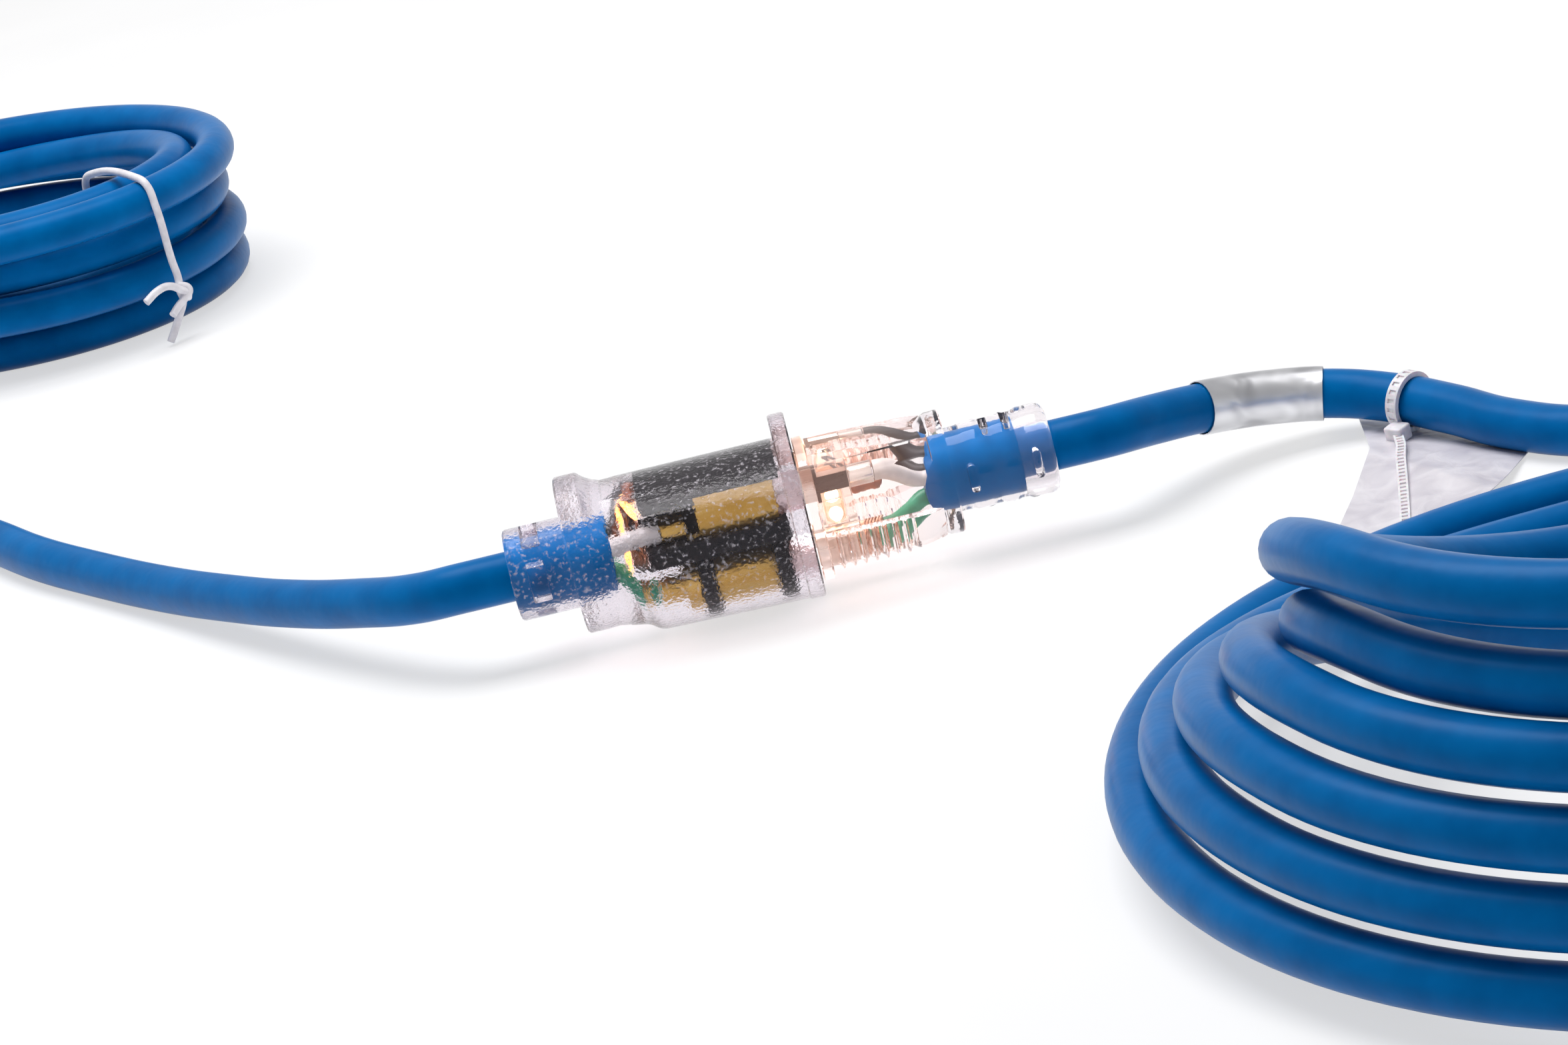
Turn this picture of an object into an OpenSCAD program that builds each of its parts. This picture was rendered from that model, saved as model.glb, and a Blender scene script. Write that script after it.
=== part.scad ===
// Lighted extension cord set: a clear cord connector and a clear plug, joined, on one blue cord.
// X runs along the joined pair, Z is up, and the origin is on the table under the pair's middle.

/* [Cord] */
// Outside diameter of the jacket
cord_d = 9.5; // [9:0.1:9.8]
// Diameter of one insulated conductor
lead_d = 3; // [2.6:0.1:3]
// Diameter of the bare copper inside a conductor
core_d = 2; // [1.6:0.1:2.2]

/* [Connector] */
// Length of the shell without its sleeve
shell_len = 44.5; // [43.5:0.1:46]
// Length of the sleeve behind the shell
sleeve_len = 11.5; // [10:0.1:13]
// Outside diameter of the sleeve
sleeve_d = 17.4; // [16:0.1:19]
// Radius of the front flange
flange_r = 17.6; // [17.4:0.1:19]
// Height of the flange's centre above the cord's axis
flange_rise = 0.4; // [0:0.1:0.6]
// Thickness of the front flange
flange_t = 3.1; // [2:0.1:4]
// Radius of the body just behind the flange
body_front_r = 17; // [16.6:0.1:17.1]
// Radius of the body at the step
body_rear_r = 16.3; // [15.8:0.1:16.6]
// Height of the body's crowned top above the axis
body_top = 13; // [12.9:0.1:13.6]
// Radius of that crown
crown_r = 26; // [25:1:32]
// Distance from the face to the start of the step
body_len = 30.5; // [29:0.1:32]
// Length of the sloping step
step_len = 2.7; // [1.5:0.1:3.5]
// Radius of the waist behind the step
waist_r = 14.4; // [13:0.1:15]
// Radius of the waist where it meets the rim
waist_rear_r = 13.7; // [12.5:0.1:14.4]
// Radius of the rear rim
rim_r = 14.9; // [14:0.1:15.5]
// Height of the rim's centre above the axis
rim_rise = 1.2; // [0:0.1:1.5]
// Thickness of the rear rim
rim_t = 4.5; // [3:0.1:5]
// Length of the clear wall in front of the contact carrier
front_wall = 3.6; // [3.2:0.1:4.5]

/* [Contact carrier] */
// Length of the carrier
carrier_len = 26.4; // [26:0.1:28]
// Half the width of the carrier
carrier_half = 9.6; // [9.2:0.1:9.8]
// Top of the carrier above the axis
carrier_top = 10.2; // [10:0.1:10.4]
// Underside of the carrier's floor, below the axis
carrier_drop = 1.5; // [0.8:0.1:2]
// Radius of the two collars round the ground contact
collar_r = 4.6; // [4.2:0.1:5]
// Length of one collar
collar_len = 3; // [2:0.1:4]
// Thickness of contact metal
contact_t = 0.5; // [0.4:0.05:0.6]
// Running clearance between a blade and its contact, on each side
blade_gap = 0.3; // [0.2:0.05:0.4]
// Outside diameter of a crimp barrel
crimp_d = 3.4; // [3.1:0.1:3.6]
// Length of a crimp barrel
crimp_len = 4.5; // [3.5:0.1:5]

/* [Blades] */
// Distance between the two blades
blade_pitch = 12.7; // [12.5:0.1:13]
// Thickness of a blade
blade_t = 1.5; // [1.4:0.05:1.6]
// Width of a blade
blade_w = 6.35; // [6:0.05:6.6]
// Length of a blade beyond the plug's face
blade_len = 17.8; // [16:0.1:18.4]
// Diameter of the hole near a blade's tip
blade_hole_d = 3.2; // [2.5:0.1:3.5]
// Distance of that hole from the plug's face
blade_hole_at = 11.7; // [10:0.1:13]
// Height of the blades' centre above the axis
blade_rise = 5.7; // [5.5:0.1:5.8]
// Distance of the ground pin below the blades' centre
ground_drop = 11.9; // [11.6:0.1:12.2]
// Diameter of the ground pin
ground_d = 4.8; // [4.5:0.1:5]
// Length of the ground pin beyond the plug's face
ground_len = 21; // [19:0.1:22]

/* [Plug] */
// Clearance between the plug's face and the connector's face
face_gap = 0.25; // [0.2:0.05:0.5]
// Radius of the disc at the plug's face
disc_r = 13.65; // [13.2:0.05:14]
// Distance of the disc's centre below the axis
disc_drop = 0.85; // [0.5:0.05:1]
// Thickness of the disc
disc_t = 2.4; // [1.5:0.1:2.6]
// Distance from the face to the back of the ring
plug_body_len = 27.9; // [27:0.1:29]
// Height of the plug's flat top above the axis
plug_top = 10.8; // [10.2:0.1:11.2]
// Wall of the plug's upper barrel outside a blade's corner
barrel_wall = 0.8; // [0.7:0.1:1]
// Half the width between the barrel's flat sides
barrel_half = 9.6; // [9.4:0.1:10.5]
// Radius of the rounded grip under the barrel
grip_r = 12.3; // [12:0.1:12.6]
// Distance of the grip's upper ledge below the axis
grip_drop = 3; // [2:0.1:4]
// Distance from the face to where the grip starts to round off
grip_len = 19; // [18:0.1:20]
// Number of ribs round the grip
rib_count = 7; // [3:1:7]
// Distance from one rib to the next
rib_pitch = 2.1; // [1.8:0.1:2.2]
// Thickness of a rib at its foot
rib_t = 1.3; // [0.8:0.1:1.5]
// Height of a rib above the grip
rib_rise = 0.9; // [0.5:0.1:1.2]
// Radius of the ring behind the grip
ring_r = 11.7; // [11:0.1:12.5]
// Thickness of that ring
ring_t = 3; // [2:0.1:4]
// Length of the plug's strain relief
relief_len = 19.2; // [19:0.1:22]
// Outside diameter of the strain relief
relief_d = 16.8; // [15:0.1:18]
// Length of the blade holder
holder_len = 6.5; // [6.5:0.1:8]
// Wall of the blade holder beside a blade
holder_side = 1.1; // [0.8:0.1:1.3]
// Top of the blade holder above the axis
holder_top = 9.5; // [9.3:0.1:9.6]
// Distance from the plug's face to the end of the cord's jacket
plug_jacket_at = 23.1; // [22.5:0.1:24]
// Distance from the connector's face to the end of the cord's jacket
jacket_at = 37.3; // [37:0.1:39]

/* [Pilot lamps] */
// Diameter of a lamp's glass
lamp_d = 4; // [3:0.1:4]
// Length of a lamp's glass
lamp_len = 9; // [6:0.1:9]
// Diameter of a lamp resistor
resistor_d = 2.2; // [1.6:0.1:2.4]
// Length of a lamp resistor
resistor_len = 6; // [4:0.1:6.5]

/* [Right coil] */
// Half the coil's size from front to back, on the outermost turn
right_half_y = 107; // [105:1:110]
// Half the coil's size from left to right, on the outermost turn
right_half_x = 105; // [103:1:108]
// Clearance between a strand and the one stacked on it
stack_gap = 1.3; // [1.2:0.1:2]

/* [Left coil] */
// Mean radius of the left coil's outermost turn
left_r = 65; // [63:1:68]
// Clearance between neighbouring strands of one layer
side_gap = 1.3; // [1.2:0.1:2]
// Clearance between layers
layer_gap = 0.7; // [0.6:0.1:1.2]

/* [Ties, label and tag] */
// Thickness of the foil label
label_t = 0.3; // [0.2:0.05:0.5]
// Width of the cable tie's band
band_w = 2.4; // [2:0.1:3]
// Thickness of the cable tie's band
band_t = 1; // [0.7:0.1:1.2]
// Diameter of the twist tie's wire
wire_d = 2; // [1.6:0.1:2.4]
// Thickness of the folded tag
tag_t = 0.6; // [0.4:0.1:1]

/* [Hidden] */
$fn = 64;
// Height of the cord's axis at the pair: the flange rests on the table
axis_z = flange_r - flange_rise;
connector_len = shell_len + sleeve_len;
plug_len = plug_body_len + relief_len;
// The faces meet here, so that the origin is under the pair's middle
mate_x = (connector_len - plug_len) / 2;
cord_r = cord_d / 2;
line_y = blade_pitch / 2;
ground_z = blade_rise - ground_drop;
// The plug's barrel and blade holder go round the blades
barrel_r = norm([line_y + blade_t / 2, blade_rise + blade_w / 2]) + barrel_wall;
holder_half = line_y + blade_t / 2 + holder_side;
carrier_end = front_wall + carrier_len;
// A contact's inner and outer faces, measured from its blade's centre
leaf_in = blade_t / 2 + blade_gap;
leaf_out = leaf_in + contact_t;
// Half the height of a contact, and the height of its floor
contact_half = blade_w / 2 + blade_gap;
contact_floor = blade_rise - contact_half - contact_t;
contact_from = front_wall + 1.4;
contact_to = contact_from + blade_len - 3;
crimp_z = contact_floor + crimp_d / 2;
crimp_from = contact_to + 2.5;
ground_bore = ground_d + 2 * blade_gap;
ground_out = ground_bore + 2 * contact_t;
ground_to = ground_len + 3.5;
collar_inset = 2.5;
lead_gap = 0.2;
jacket_lead_y = 2.3;
jacket_lead_z = 1.3;
lamp_gap = 0.1;
connector_lamp_z = -2.9;
plug_lamp_z = -3.2;
resistor_z = 7.4;
plug_resistor_z = 2.2;
chamber_r = 9.5;
// A window in a sleeve is this long and this wide
window_len = 3.4;
window_w = 7;
relief_window_len = 2.2;
relief_windows = [3.5, 7.5, 11.6, 15.7];
blade_slot = 0.35;
// Clearance of pieces that lie against each other
fit = 0.05;
holder_end = disc_t + holder_len;
plug_lamp_x = disc_t + lamp_d / 2 + 0.8;
holder_pin_r = ground_d / 2 + 0.8;
pin_tip = 1.8;
plug_chamber_top = 7.9;
holder_wall = 0.5;
plug_chamber_half = line_y + lead_d / 2 + 0.35;
plug_chamber_drop = 4;
lead_run = 1.5;
big = 100;

// Coils stand on the table with their lowest strand cut flat, a tenth of its diameter deep
flat_cut = cord_d / 10;
coil_rings = 24;
coil_sides = 6;
run_sides = 8;
lead_sides = 10;
// Height of a strand that is cut flat
cut_z = cord_r - flat_cut;

// Right coil: the backs lie fanned out on the table and the fronts are stacked
right_centre = [144.5, -150];
right_turns = 6.1;
right_turn_to = -88;
fan_step_y = 8;
fan_step_x = 5.8;
fan_shift = 6.3;
fan_even = 2.6;
fan_ease = 2.5;
fan_back = 5;
fan_out = 1.5;
fan_in = 7.3;
fan_lift = cord_d + stack_gap;
fan_climb = cord_d + stack_gap + 0.2;
fan_low = 3;
fan_slope = 107;

// Left coil: layers that spiral in and out again, drawn in to an oval
left_centre = [-184.5, 337];
left_turns = 1.45;
left_layers = 4;
left_pitch = cord_d + side_gap;
left_step = cord_d + layer_gap;
left_oval = 8;
left_turn_to = 145;
left_start = 35;
left_lean = [2, -8];
left_climb = 0.5;

// The cord's way between the coils and the pair, as it lies
right_route = [
    [61, 0, 17.2],
    [72, 7, 15],
    [83, 14, 12.4],
    [95, 17, 10.3],
    [107, 16, 8.4],
    [117, 10, 7],
    [126, -1, 6],
    [134, -13, 5],
    [148, -27, 4.75],
    [171, -34, 4.75],
    [197, -42, 4.75],
    [222, -57, 4.75],
    [241, -80, 4.75],
    [250, -107, 4.75]
];
left_route = [
    [-61, 0, 17.2],
    [-70, 5, 15.5],
    [-82, 17, 13],
    [-96, 34, 10],
    [-111, 54, 7.5],
    [-126, 75, 5.5],
    [-142, 97, 4.75],
    [-155, 115, 4.75],
    [-167, 135, 4.75],
    [-182, 158, 4.75],
    [-198, 181, 4.75],
    [-214, 205, 4.75],
    [-229, 231, 4.75],
    [-241, 260, 4.75],
    [-249, 290, 4.75]
];
link_route = [
    [-240, 275, 31],
    [-257, 263, 25],
    [-268, 243, 18],
    [-275, 218, 11],
    [-279, 191, 6],
    [-281, 163, 4.75],
    [-280, 135, 4.75],
    [-278, 107, 4.75],
    [-275, 79, 4.75],
    [-271, 51, 4.75],
    [-266, 23, 4.75],
    [-260, -5, 4.75],
    [-252, -32, 4.75],
    [-243, -59, 4.75],
    [-234, -86, 4.75],
    [-224, -112, 4.75],
    [-213, -138, 4.75],
    [-199, -163, 4.75],
    [-182, -186, 4.75],
    [-164, -208, 4.75],
    [-144, -228, 4.75],
    [-123, -247, 4.75],
    [-101, -264, 4.75],
    [-77, -279, 4.75],
    [-52, -292, 4.75],
    [-26, -303, 4.75],
    [1, -312, 4.75],
    [29, -320, 4.75],
    [57, -327, 4.75],
    [85, -332, 4.75],
    [112, -334, 5.5],
    [138, -330, 9],
    [160, -318, 16],
    [176, -300, 27],
    [187, -280, 40],
    [195, -261, 52]
];
// The stretch of the right route that the label covers, and the place of the cable tie on it
label_from = 3;
label_to = 5;
tie_at = 6;
tie_part = 0.3;
tie_head = [4, 3, 2.6];
tail_r = 0.7;
// The twist tie's place round the left coil, in turns, and its clearance
twist_at = 0.65;
twist_gap = 0.8;

// ---------- helpers ----------

// Moves a piece from the cord's axis, with X = 0 at the faces, to its place
module on_axis() {
    translate([mate_x, 0, axis_z]) children();
}

// A cylinder or cone along X
module bar_x(x0, x1, r0, r1 = -1) {
    translate([x0, 0, 0]) rotate([0, 90, 0]) cylinder(h = x1 - x0, r1 = r0, r2 = r1 < 0 ? r0 : r1);
}

// A block given by its two corners
module block(a, b) {
    translate(a) cube(b - a);
}

// A round rod from a to b
module rod(a, b, d) {
    v = b - a;
    translate(a) rotate([0, acos(v.z / norm(v)), atan2(v.y, v.x)]) cylinder(h = norm(v), d = d);
}

function unit(v) = v / norm(v);
function smooth(x) = let (t = min(max(x, 0), 1)) t * t * (3 - 2 * t);
function last(list) = list[len(list) - 1];

// Direction of a path at point i
function heading(path, i) =
    let (a = path[max(i - 1, 0)], b = path[i], c = path[min(i + 1, len(path) - 1)])
    i == 0 ? unit(c - b) : i == len(path) - 1 ? unit(b - a) : unit(unit(b - a) + unit(c - b));

// Points of a tube's ring round point i, with one side down, and cut flat at the height low
function ring(path, i, r, sides, low) =
    let (t = heading(path, i), side = unit(cross([0, 0, 1], t)), up = cross(t, side))
    [for (k = [0 : sides - 1])
        let (a = 360 * (k + 0.5) / sides, p = path[i] - r * cos(a) * up + r * sin(a) * side)
        [p.x, p.y, max(p.z, low)]];
function rings(path, r, sides, low = 0) =
    [for (i = [0 : len(path) - 1]) each ring(path, i, r, sides, low)];

// Triangles between ring after ring, from point number o on
function walls(count, sides, o, outward) = [for (i = [0 : count - 2], k = [0 : sides - 1])
    let (a = o + i * sides + k, b = o + i * sides + (k + 1) % sides)
    each outward ? [[a, a + sides, b], [b, a + sides, b + sides]]
        : [[a, b, a + sides], [b, b + sides, a + sides]]];

// A closed tube along a path, with triangles for faces
module tube(path, r, sides, low = 0) {
    n = len(path);
    ends = [for (k = [1 : sides - 2], m = [0, n - 1])
        let (o = m * sides) m == 0 ? [o, o + k, o + k + 1] : [o, o + k + 1, o + k]];
    polyhedron(points = rings(path, r, sides, low), faces = concat(walls(n, sides, 0, true), ends),
        convexity = 10);
}

// A sleeve round a straight or bent stretch of the cord
module sleeve(path, inner, outer) {
    n = len(path);
    sides = run_sides;
    in = n * sides;
    ends = [for (k = [0 : sides - 1], m = [0, n - 1])
        let (a = m * sides + k, b = m * sides + (k + 1) % sides)
        each m == 0 ? [[a, b, a + in], [b, b + in, a + in]] : [[a, a + in, b], [b, a + in, b + in]]];
    polyhedron(points = concat(rings(path, outer, sides), rings(path, inner, sides)),
        faces = concat(walls(n, sides, 0, true), walls(n, sides, in, false), ends), convexity = 10);
}

// ---------- coil formulas ----------

// Turns that the fan has opened at turn t: even at first, then easing off
function fan_up(t) = min(t, fan_even)
    + 2 * fan_ease / PI * sin(90 * min(max((t - fan_even) / fan_ease, 0), 1));
// Turns that it has drawn in by then, before it opens again over the last turn
function fan_drawn(t) = 2 * fan_ease / PI * (1 - cos(90 * min(max((t - fan_even) / fan_ease, 0), 1)))
    + min(max(t - fan_even - fan_ease, 0), max(fan_back - fan_even - fan_ease, 0))
    - fan_out * max(t - fan_back, 0);
function right_point(t) =
    let (a = 90 - 360 * t, up = fan_up(t), drawn = fan_drawn(t),
         u = (right_half_y - fan_step_y * up - fan_in * drawn) * cos(a) + fan_shift * up,
         v = (right_half_x - fan_step_x * up - fan_in * drawn) * sin(a),
         from_back = acos(min(max(-cos(a), -1), 1)),
         rise = smooth((from_back - fan_low) / fan_slope),
         z = cut_z + fan_lift * up * rise + fan_climb * smooth((t - fan_back + 0.25) / 0.5)
             + flat_cut * (1 - smooth(t * 4)),
         f = right_turn_to)
    [right_centre.x + u * cos(f) - v * sin(f), right_centre.y + u * sin(f) + v * cos(f), z];

function left_layer(t) = min(max(floor(t / left_turns + 0.0001), 0), left_layers - 1);
// Turns drawn in from the outside: in on the even layers, out again on the odd ones
function left_drawn(t) =
    let (k = left_layer(t), f = t - k * left_turns)
    k % 2 == 0 ? f : left_turns - f;
function left_height(t, i = 1) = i >= left_layers ? 0
    : smooth((t - i * left_turns + left_climb / 2) / left_climb) + left_height(t, i + 1);
function left_oval_at(a, r) =
    let (u = (r + left_oval) * cos(a), v = (r - left_oval) * sin(a), f = left_turn_to)
    [u * cos(f) - v * sin(f), u * sin(f) + v * cos(f)];
function left_point(t) =
    let (h = left_height(t),
         p = left_oval_at(left_start - 360 * t, left_r - left_pitch * left_drawn(t)),
         q = left_centre + p + left_lean * h / (left_layers - 1))
    [q.x, q.y, cut_z + left_step * h + flat_cut * (1 - smooth(t * 4))];

function sampled(turns, which, per) =
    [for (i = [0 : round(turns * per)]) which == "right" ? right_point(i / per) : left_point(i / per)];
// A coil's ends run straight for one diameter
function with_straight_ends(p) = let (n = len(p))
    concat([p[0] + unit(p[0] - p[1]) * cord_d], p, [p[n - 1] + unit(p[n - 1] - p[n - 2]) * cord_d]);

left_total = left_turns * left_layers;
right_path = with_straight_ends(sampled(right_turns, "right", coil_rings));
left_path = with_straight_ends(sampled(left_total, "left", coil_rings));

// Least gap of a coil to itself, measured between points that are at least three diameters apart along it
gap_samples = 120;
function self_gap(p, skip) = min([for (i = [0 : 2 : len(p) - 1 - skip], j = [i + skip : len(p) - 1])
    norm(p[i] - p[j])]) - cord_d;
right_fine = sampled(right_turns, "right", gap_samples);
left_fine = sampled(left_total, "left", gap_samples);
echo("least gap of the right coil to itself, mm", self_gap(right_fine, 12));
echo("least gap of the left coil to itself, mm", self_gap(left_fine, 16));

function path_length(p, i = 0) = i >= len(p) - 1 ? 0 : norm(p[i + 1] - p[i]) + path_length(p, i + 1);

// A free run starts at a face, goes along its route and ends square on a coil
function joined(from, route, to, heading_to) =
    concat([from], route, [to - heading_to * 2 * cord_d, to]);
function coil_entry_heading(path) = unit(path[1] - path[0]);
plug_exit = [mate_x + plug_len, 0, axis_z];
connector_exit = [mate_x - connector_len, 0, axis_z];
right_run_path = joined(plug_exit, right_route, right_path[0], coil_entry_heading(right_path));
left_run_path = joined(connector_exit, left_route, left_path[0], coil_entry_heading(left_path));
left_out = last(left_path);
left_out_heading = unit(left_out - left_path[len(left_path) - 2]);
right_out = last(right_path);
right_out_heading = unit(right_path[len(right_path) - 2] - right_out);
link_path = concat([left_out, left_out + left_out_heading * 2 * cord_d], link_route,
    [right_out - right_out_heading * 2 * cord_d, right_out]);
echo("cord length, mm", path_length(right_run_path) + path_length(right_fine)
    + path_length(link_path) + path_length(left_fine) + path_length(left_run_path));

// ---------- connector ----------

// Room for the carrier, from x0 to x1 along the axis
module carrier_space(x0, x1) {
    block([x0, -carrier_half, -carrier_drop], [x1, carrier_half, carrier_top]);
    block([x0, -collar_r, ground_z], [x1, collar_r, -carrier_drop]);
    translate([0, 0, ground_z]) bar_x(x0, x1, collar_r);
}

module sleeve_windows(x_mid, length, r, width, angles) {
    for (a = angles) rotate([a, 0, 0])
        block([x_mid - length / 2, -width / 2, cord_r + 0.3], [x_mid + length / 2, width / 2, r + 1]);
}

module connector_shell() {
    color([0.86, 0.82, 0.88]) on_axis() difference() {
        union() {
            translate([0, 0, flange_rise]) bar_x(-flange_t, 0, flange_r);
            intersection() {
                union() {
                    bar_x(-body_len, 0, body_rear_r, body_front_r);
                    bar_x(-body_len - step_len, -body_len, waist_r, body_rear_r);
                    bar_x(-shell_len, -body_len - step_len, waist_rear_r, waist_r);
                }
                translate([0, 0, body_top - crown_r]) bar_x(-shell_len, 0, crown_r);
            }
            translate([0, 0, rim_rise]) bar_x(-shell_len, rim_t - shell_len, rim_r);
            bar_x(-connector_len, -shell_len, sleeve_d / 2);
        }
        carrier_space(-carrier_end, -front_wall);
        bar_x(-jacket_at - lead_run, -carrier_end, chamber_r);
        bar_x(-connector_len - 1, -jacket_at, cord_r);
        slot = [blade_t / 2 + blade_slot, blade_w / 2 + blade_slot];
        for (side = [-1, 1]) block([-front_wall - 1, side * line_y - slot.x, blade_rise - slot.y],
            [1, side * line_y + slot.x, blade_rise + slot.y]);
        translate([0, 0, ground_z]) bar_x(-front_wall - 1, 1, ground_d / 2 + blade_slot);
        sleeve_windows(-shell_len - sleeve_len / 2 - 1, window_len, sleeve_d / 2, window_w,
            [0, 90, 180, 270]);
    }
}

module contact_carrier() {
    inner = line_y - max(leaf_out, crimp_d / 2) - fit;
    color("#1c1a1f") on_axis() difference() {
        union() {
            block([-carrier_end, -carrier_half, -carrier_drop], [-front_wall, carrier_half, carrier_top]);
            block([-carrier_end, -1.2, ground_z + ground_out / 2], [-front_wall, 1.2, -carrier_drop]);
            for (x = [-front_wall - 1 - collar_len, collar_inset - ground_to])
                translate([0, 0, ground_z]) bar_x(x, x + collar_len, collar_r);
        }
        for (side = [-1, 1]) block(
            [-carrier_end - 1, side > 0 ? inner : -carrier_half - 1, contact_floor],
            [1 - front_wall, side > 0 ? carrier_half + 1 : -inner, blade_rise + contact_half]);
        translate([0, 0, ground_z]) bar_x(-carrier_end - 1, 0, ground_out / 2);
    }
}

// A crimp barrel with the bore for a conductor's bare core, from x0 to x1
module crimp(x0, x1) {
    difference() {
        bar_x(x0, x1, crimp_d / 2);
        bar_x(x0 - 1, x1 - 1, core_d / 2 + 0.05);
    }
}

module blade_contact(side) {
    on_axis() translate([0, side * line_y, 0]) {
        for (s = [-1, 1]) block(
            [-contact_to, s > 0 ? leaf_in : -leaf_out, contact_floor],
            [-contact_from, s > 0 ? leaf_out : -leaf_in, blade_rise + contact_half]);
        block([-contact_to, -leaf_out, contact_floor],
            [-contact_from, leaf_out, contact_floor + contact_t]);
        block([-crimp_from, -1.2, contact_floor], [-contact_to, 1.2, contact_floor + contact_t]);
        translate([0, 0, crimp_z]) crimp(-crimp_from - crimp_len, -crimp_from);
    }
}

module line_contact() {
    color("#c9a13b") blade_contact(1);
}

module neutral_contact() {
    color("#c9a13b") blade_contact(-1);
}

module ground_contact() {
    color("#c9a13b") on_axis() translate([0, 0, ground_z]) {
        difference() {
            bar_x(-ground_to, -contact_from, ground_out / 2);
            bar_x(-ground_to + 1, 0, ground_bore / 2);
        }
        crimp(-ground_to - crimp_len, -ground_to);
    }
}

// Glass lamp that stands upright between the conductors, drawn in at both ends
module lamp(x, z0) {
    neck = lamp_d / 4;
    translate([x, 0, z0]) {
        cylinder(h = neck, r1 = neck, r2 = lamp_d / 2);
        translate([0, 0, neck]) cylinder(h = lamp_len - 2 * neck, d = lamp_d);
        translate([0, 0, lamp_len - neck]) cylinder(h = neck, r1 = lamp_d / 2, r2 = neck);
    }
}

module connector_lamp() {
    color("#ff9a4a") on_axis() lamp(-carrier_end - lamp_d / 2 - lamp_gap, connector_lamp_z);
}

module connector_resistor() {
    x = -carrier_end - resistor_d / 2 - lamp_gap;
    half = resistor_len / 2;
    color("#b98a5e") on_axis() rod([x, -half, resistor_z], [x, half, resistor_z], resistor_d);
}

// A conductor from its crimp at x0 to the jacket's end at x1, with its bare core in the crimp.
// It runs straight at first, to clear what is beside the crimp
module lead(x0, y0, z0, x1, y1, z1, straight) {
    dir = sign(x1 - x0);
    a = [x0 + dir * lead_gap, y0, z0];
    b = [x0 + dir * (lead_gap + straight), y0, z0];
    c = [x1 - dir * lead_run, y1, z1];
    d = [x1, y1, z1];
    tube([a, b, c, d], lead_d / 2, lead_sides, -big);
    rod([x0 - dir * (crimp_len - 2), y0, z0], [x0 + dir * lead_gap, y0, z0], core_d);
}

module connector_lead(y0, z0, x0, y1, z1) {
    on_axis() lead(x0, y0, z0, -jacket_at, y1, z1, max(carrier_end + x0, 0) + lead_run);
}

module connector_black_lead() {
    color("#202024") connector_lead(line_y, crimp_z, -crimp_from - crimp_len,
        jacket_lead_y, jacket_lead_z);
}

module connector_white_lead() {
    color("#e8e6e2") connector_lead(-line_y, crimp_z, -crimp_from - crimp_len,
        -jacket_lead_y, jacket_lead_z);
}

module connector_green_lead() {
    color("#1f9a72") connector_lead(0, ground_z, -ground_to - crimp_len, 0, -jacket_lead_y - 0.4);
}

module connector_cord_end() {
    color("#0a66b8") on_axis() bar_x(-connector_len, -jacket_at, cord_r);
}

// ---------- plug ----------

// Section of the plug's barrel, with its flat top and sides
module barrel_shape() {
    intersection() {
        circle(r = barrel_r);
        translate([-barrel_half, -big]) square([2 * barrel_half, big + plug_top]);
    }
}

// Extrudes a section in Y and Z from x0 to x1
module section(x0, x1) {
    translate([x0, 0, 0]) rotate([90, 0, 90]) linear_extrude(x1 - x0) children();
}

// The grip turned about X from x0: its ribs, and its end that rounds off to the strain relief
module grip(x0) {
    end = plug_body_len - ring_t;
    dome = end - grip_len;
    dome_steps = 6;
    rotate([0, 90, 0]) rotate_extrude() polygon(concat(
        [[0, x0], [grip_r, x0]],
        [for (i = [0 : rib_count - 1]) let (x = x0 + 1.2 + i * rib_pitch)
            each [[grip_r, x], [grip_r + rib_rise, x + rib_t / 2], [grip_r, x + rib_t]]],
        [for (k = [0 : dome_steps]) let (a = 90 * k / dome_steps)
            [relief_d / 2 + (grip_r + 0.4 - relief_d / 2) * cos(a), grip_len + dome * sin(a)]],
        [[0, end]]));
}

// Room for the blade holder, from x0 to x1
module holder_space(x0, x1) {
    intersection() {
        block([x0, -holder_half, -grip_drop - 1], [x1, holder_half, holder_top]);
        bar_x(x0, x1, barrel_r - holder_wall);
    }
    block([x0, -holder_pin_r, ground_z], [x1, holder_pin_r, -grip_drop]);
    translate([0, 0, ground_z]) bar_x(x0, x1, holder_pin_r);
}

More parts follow.
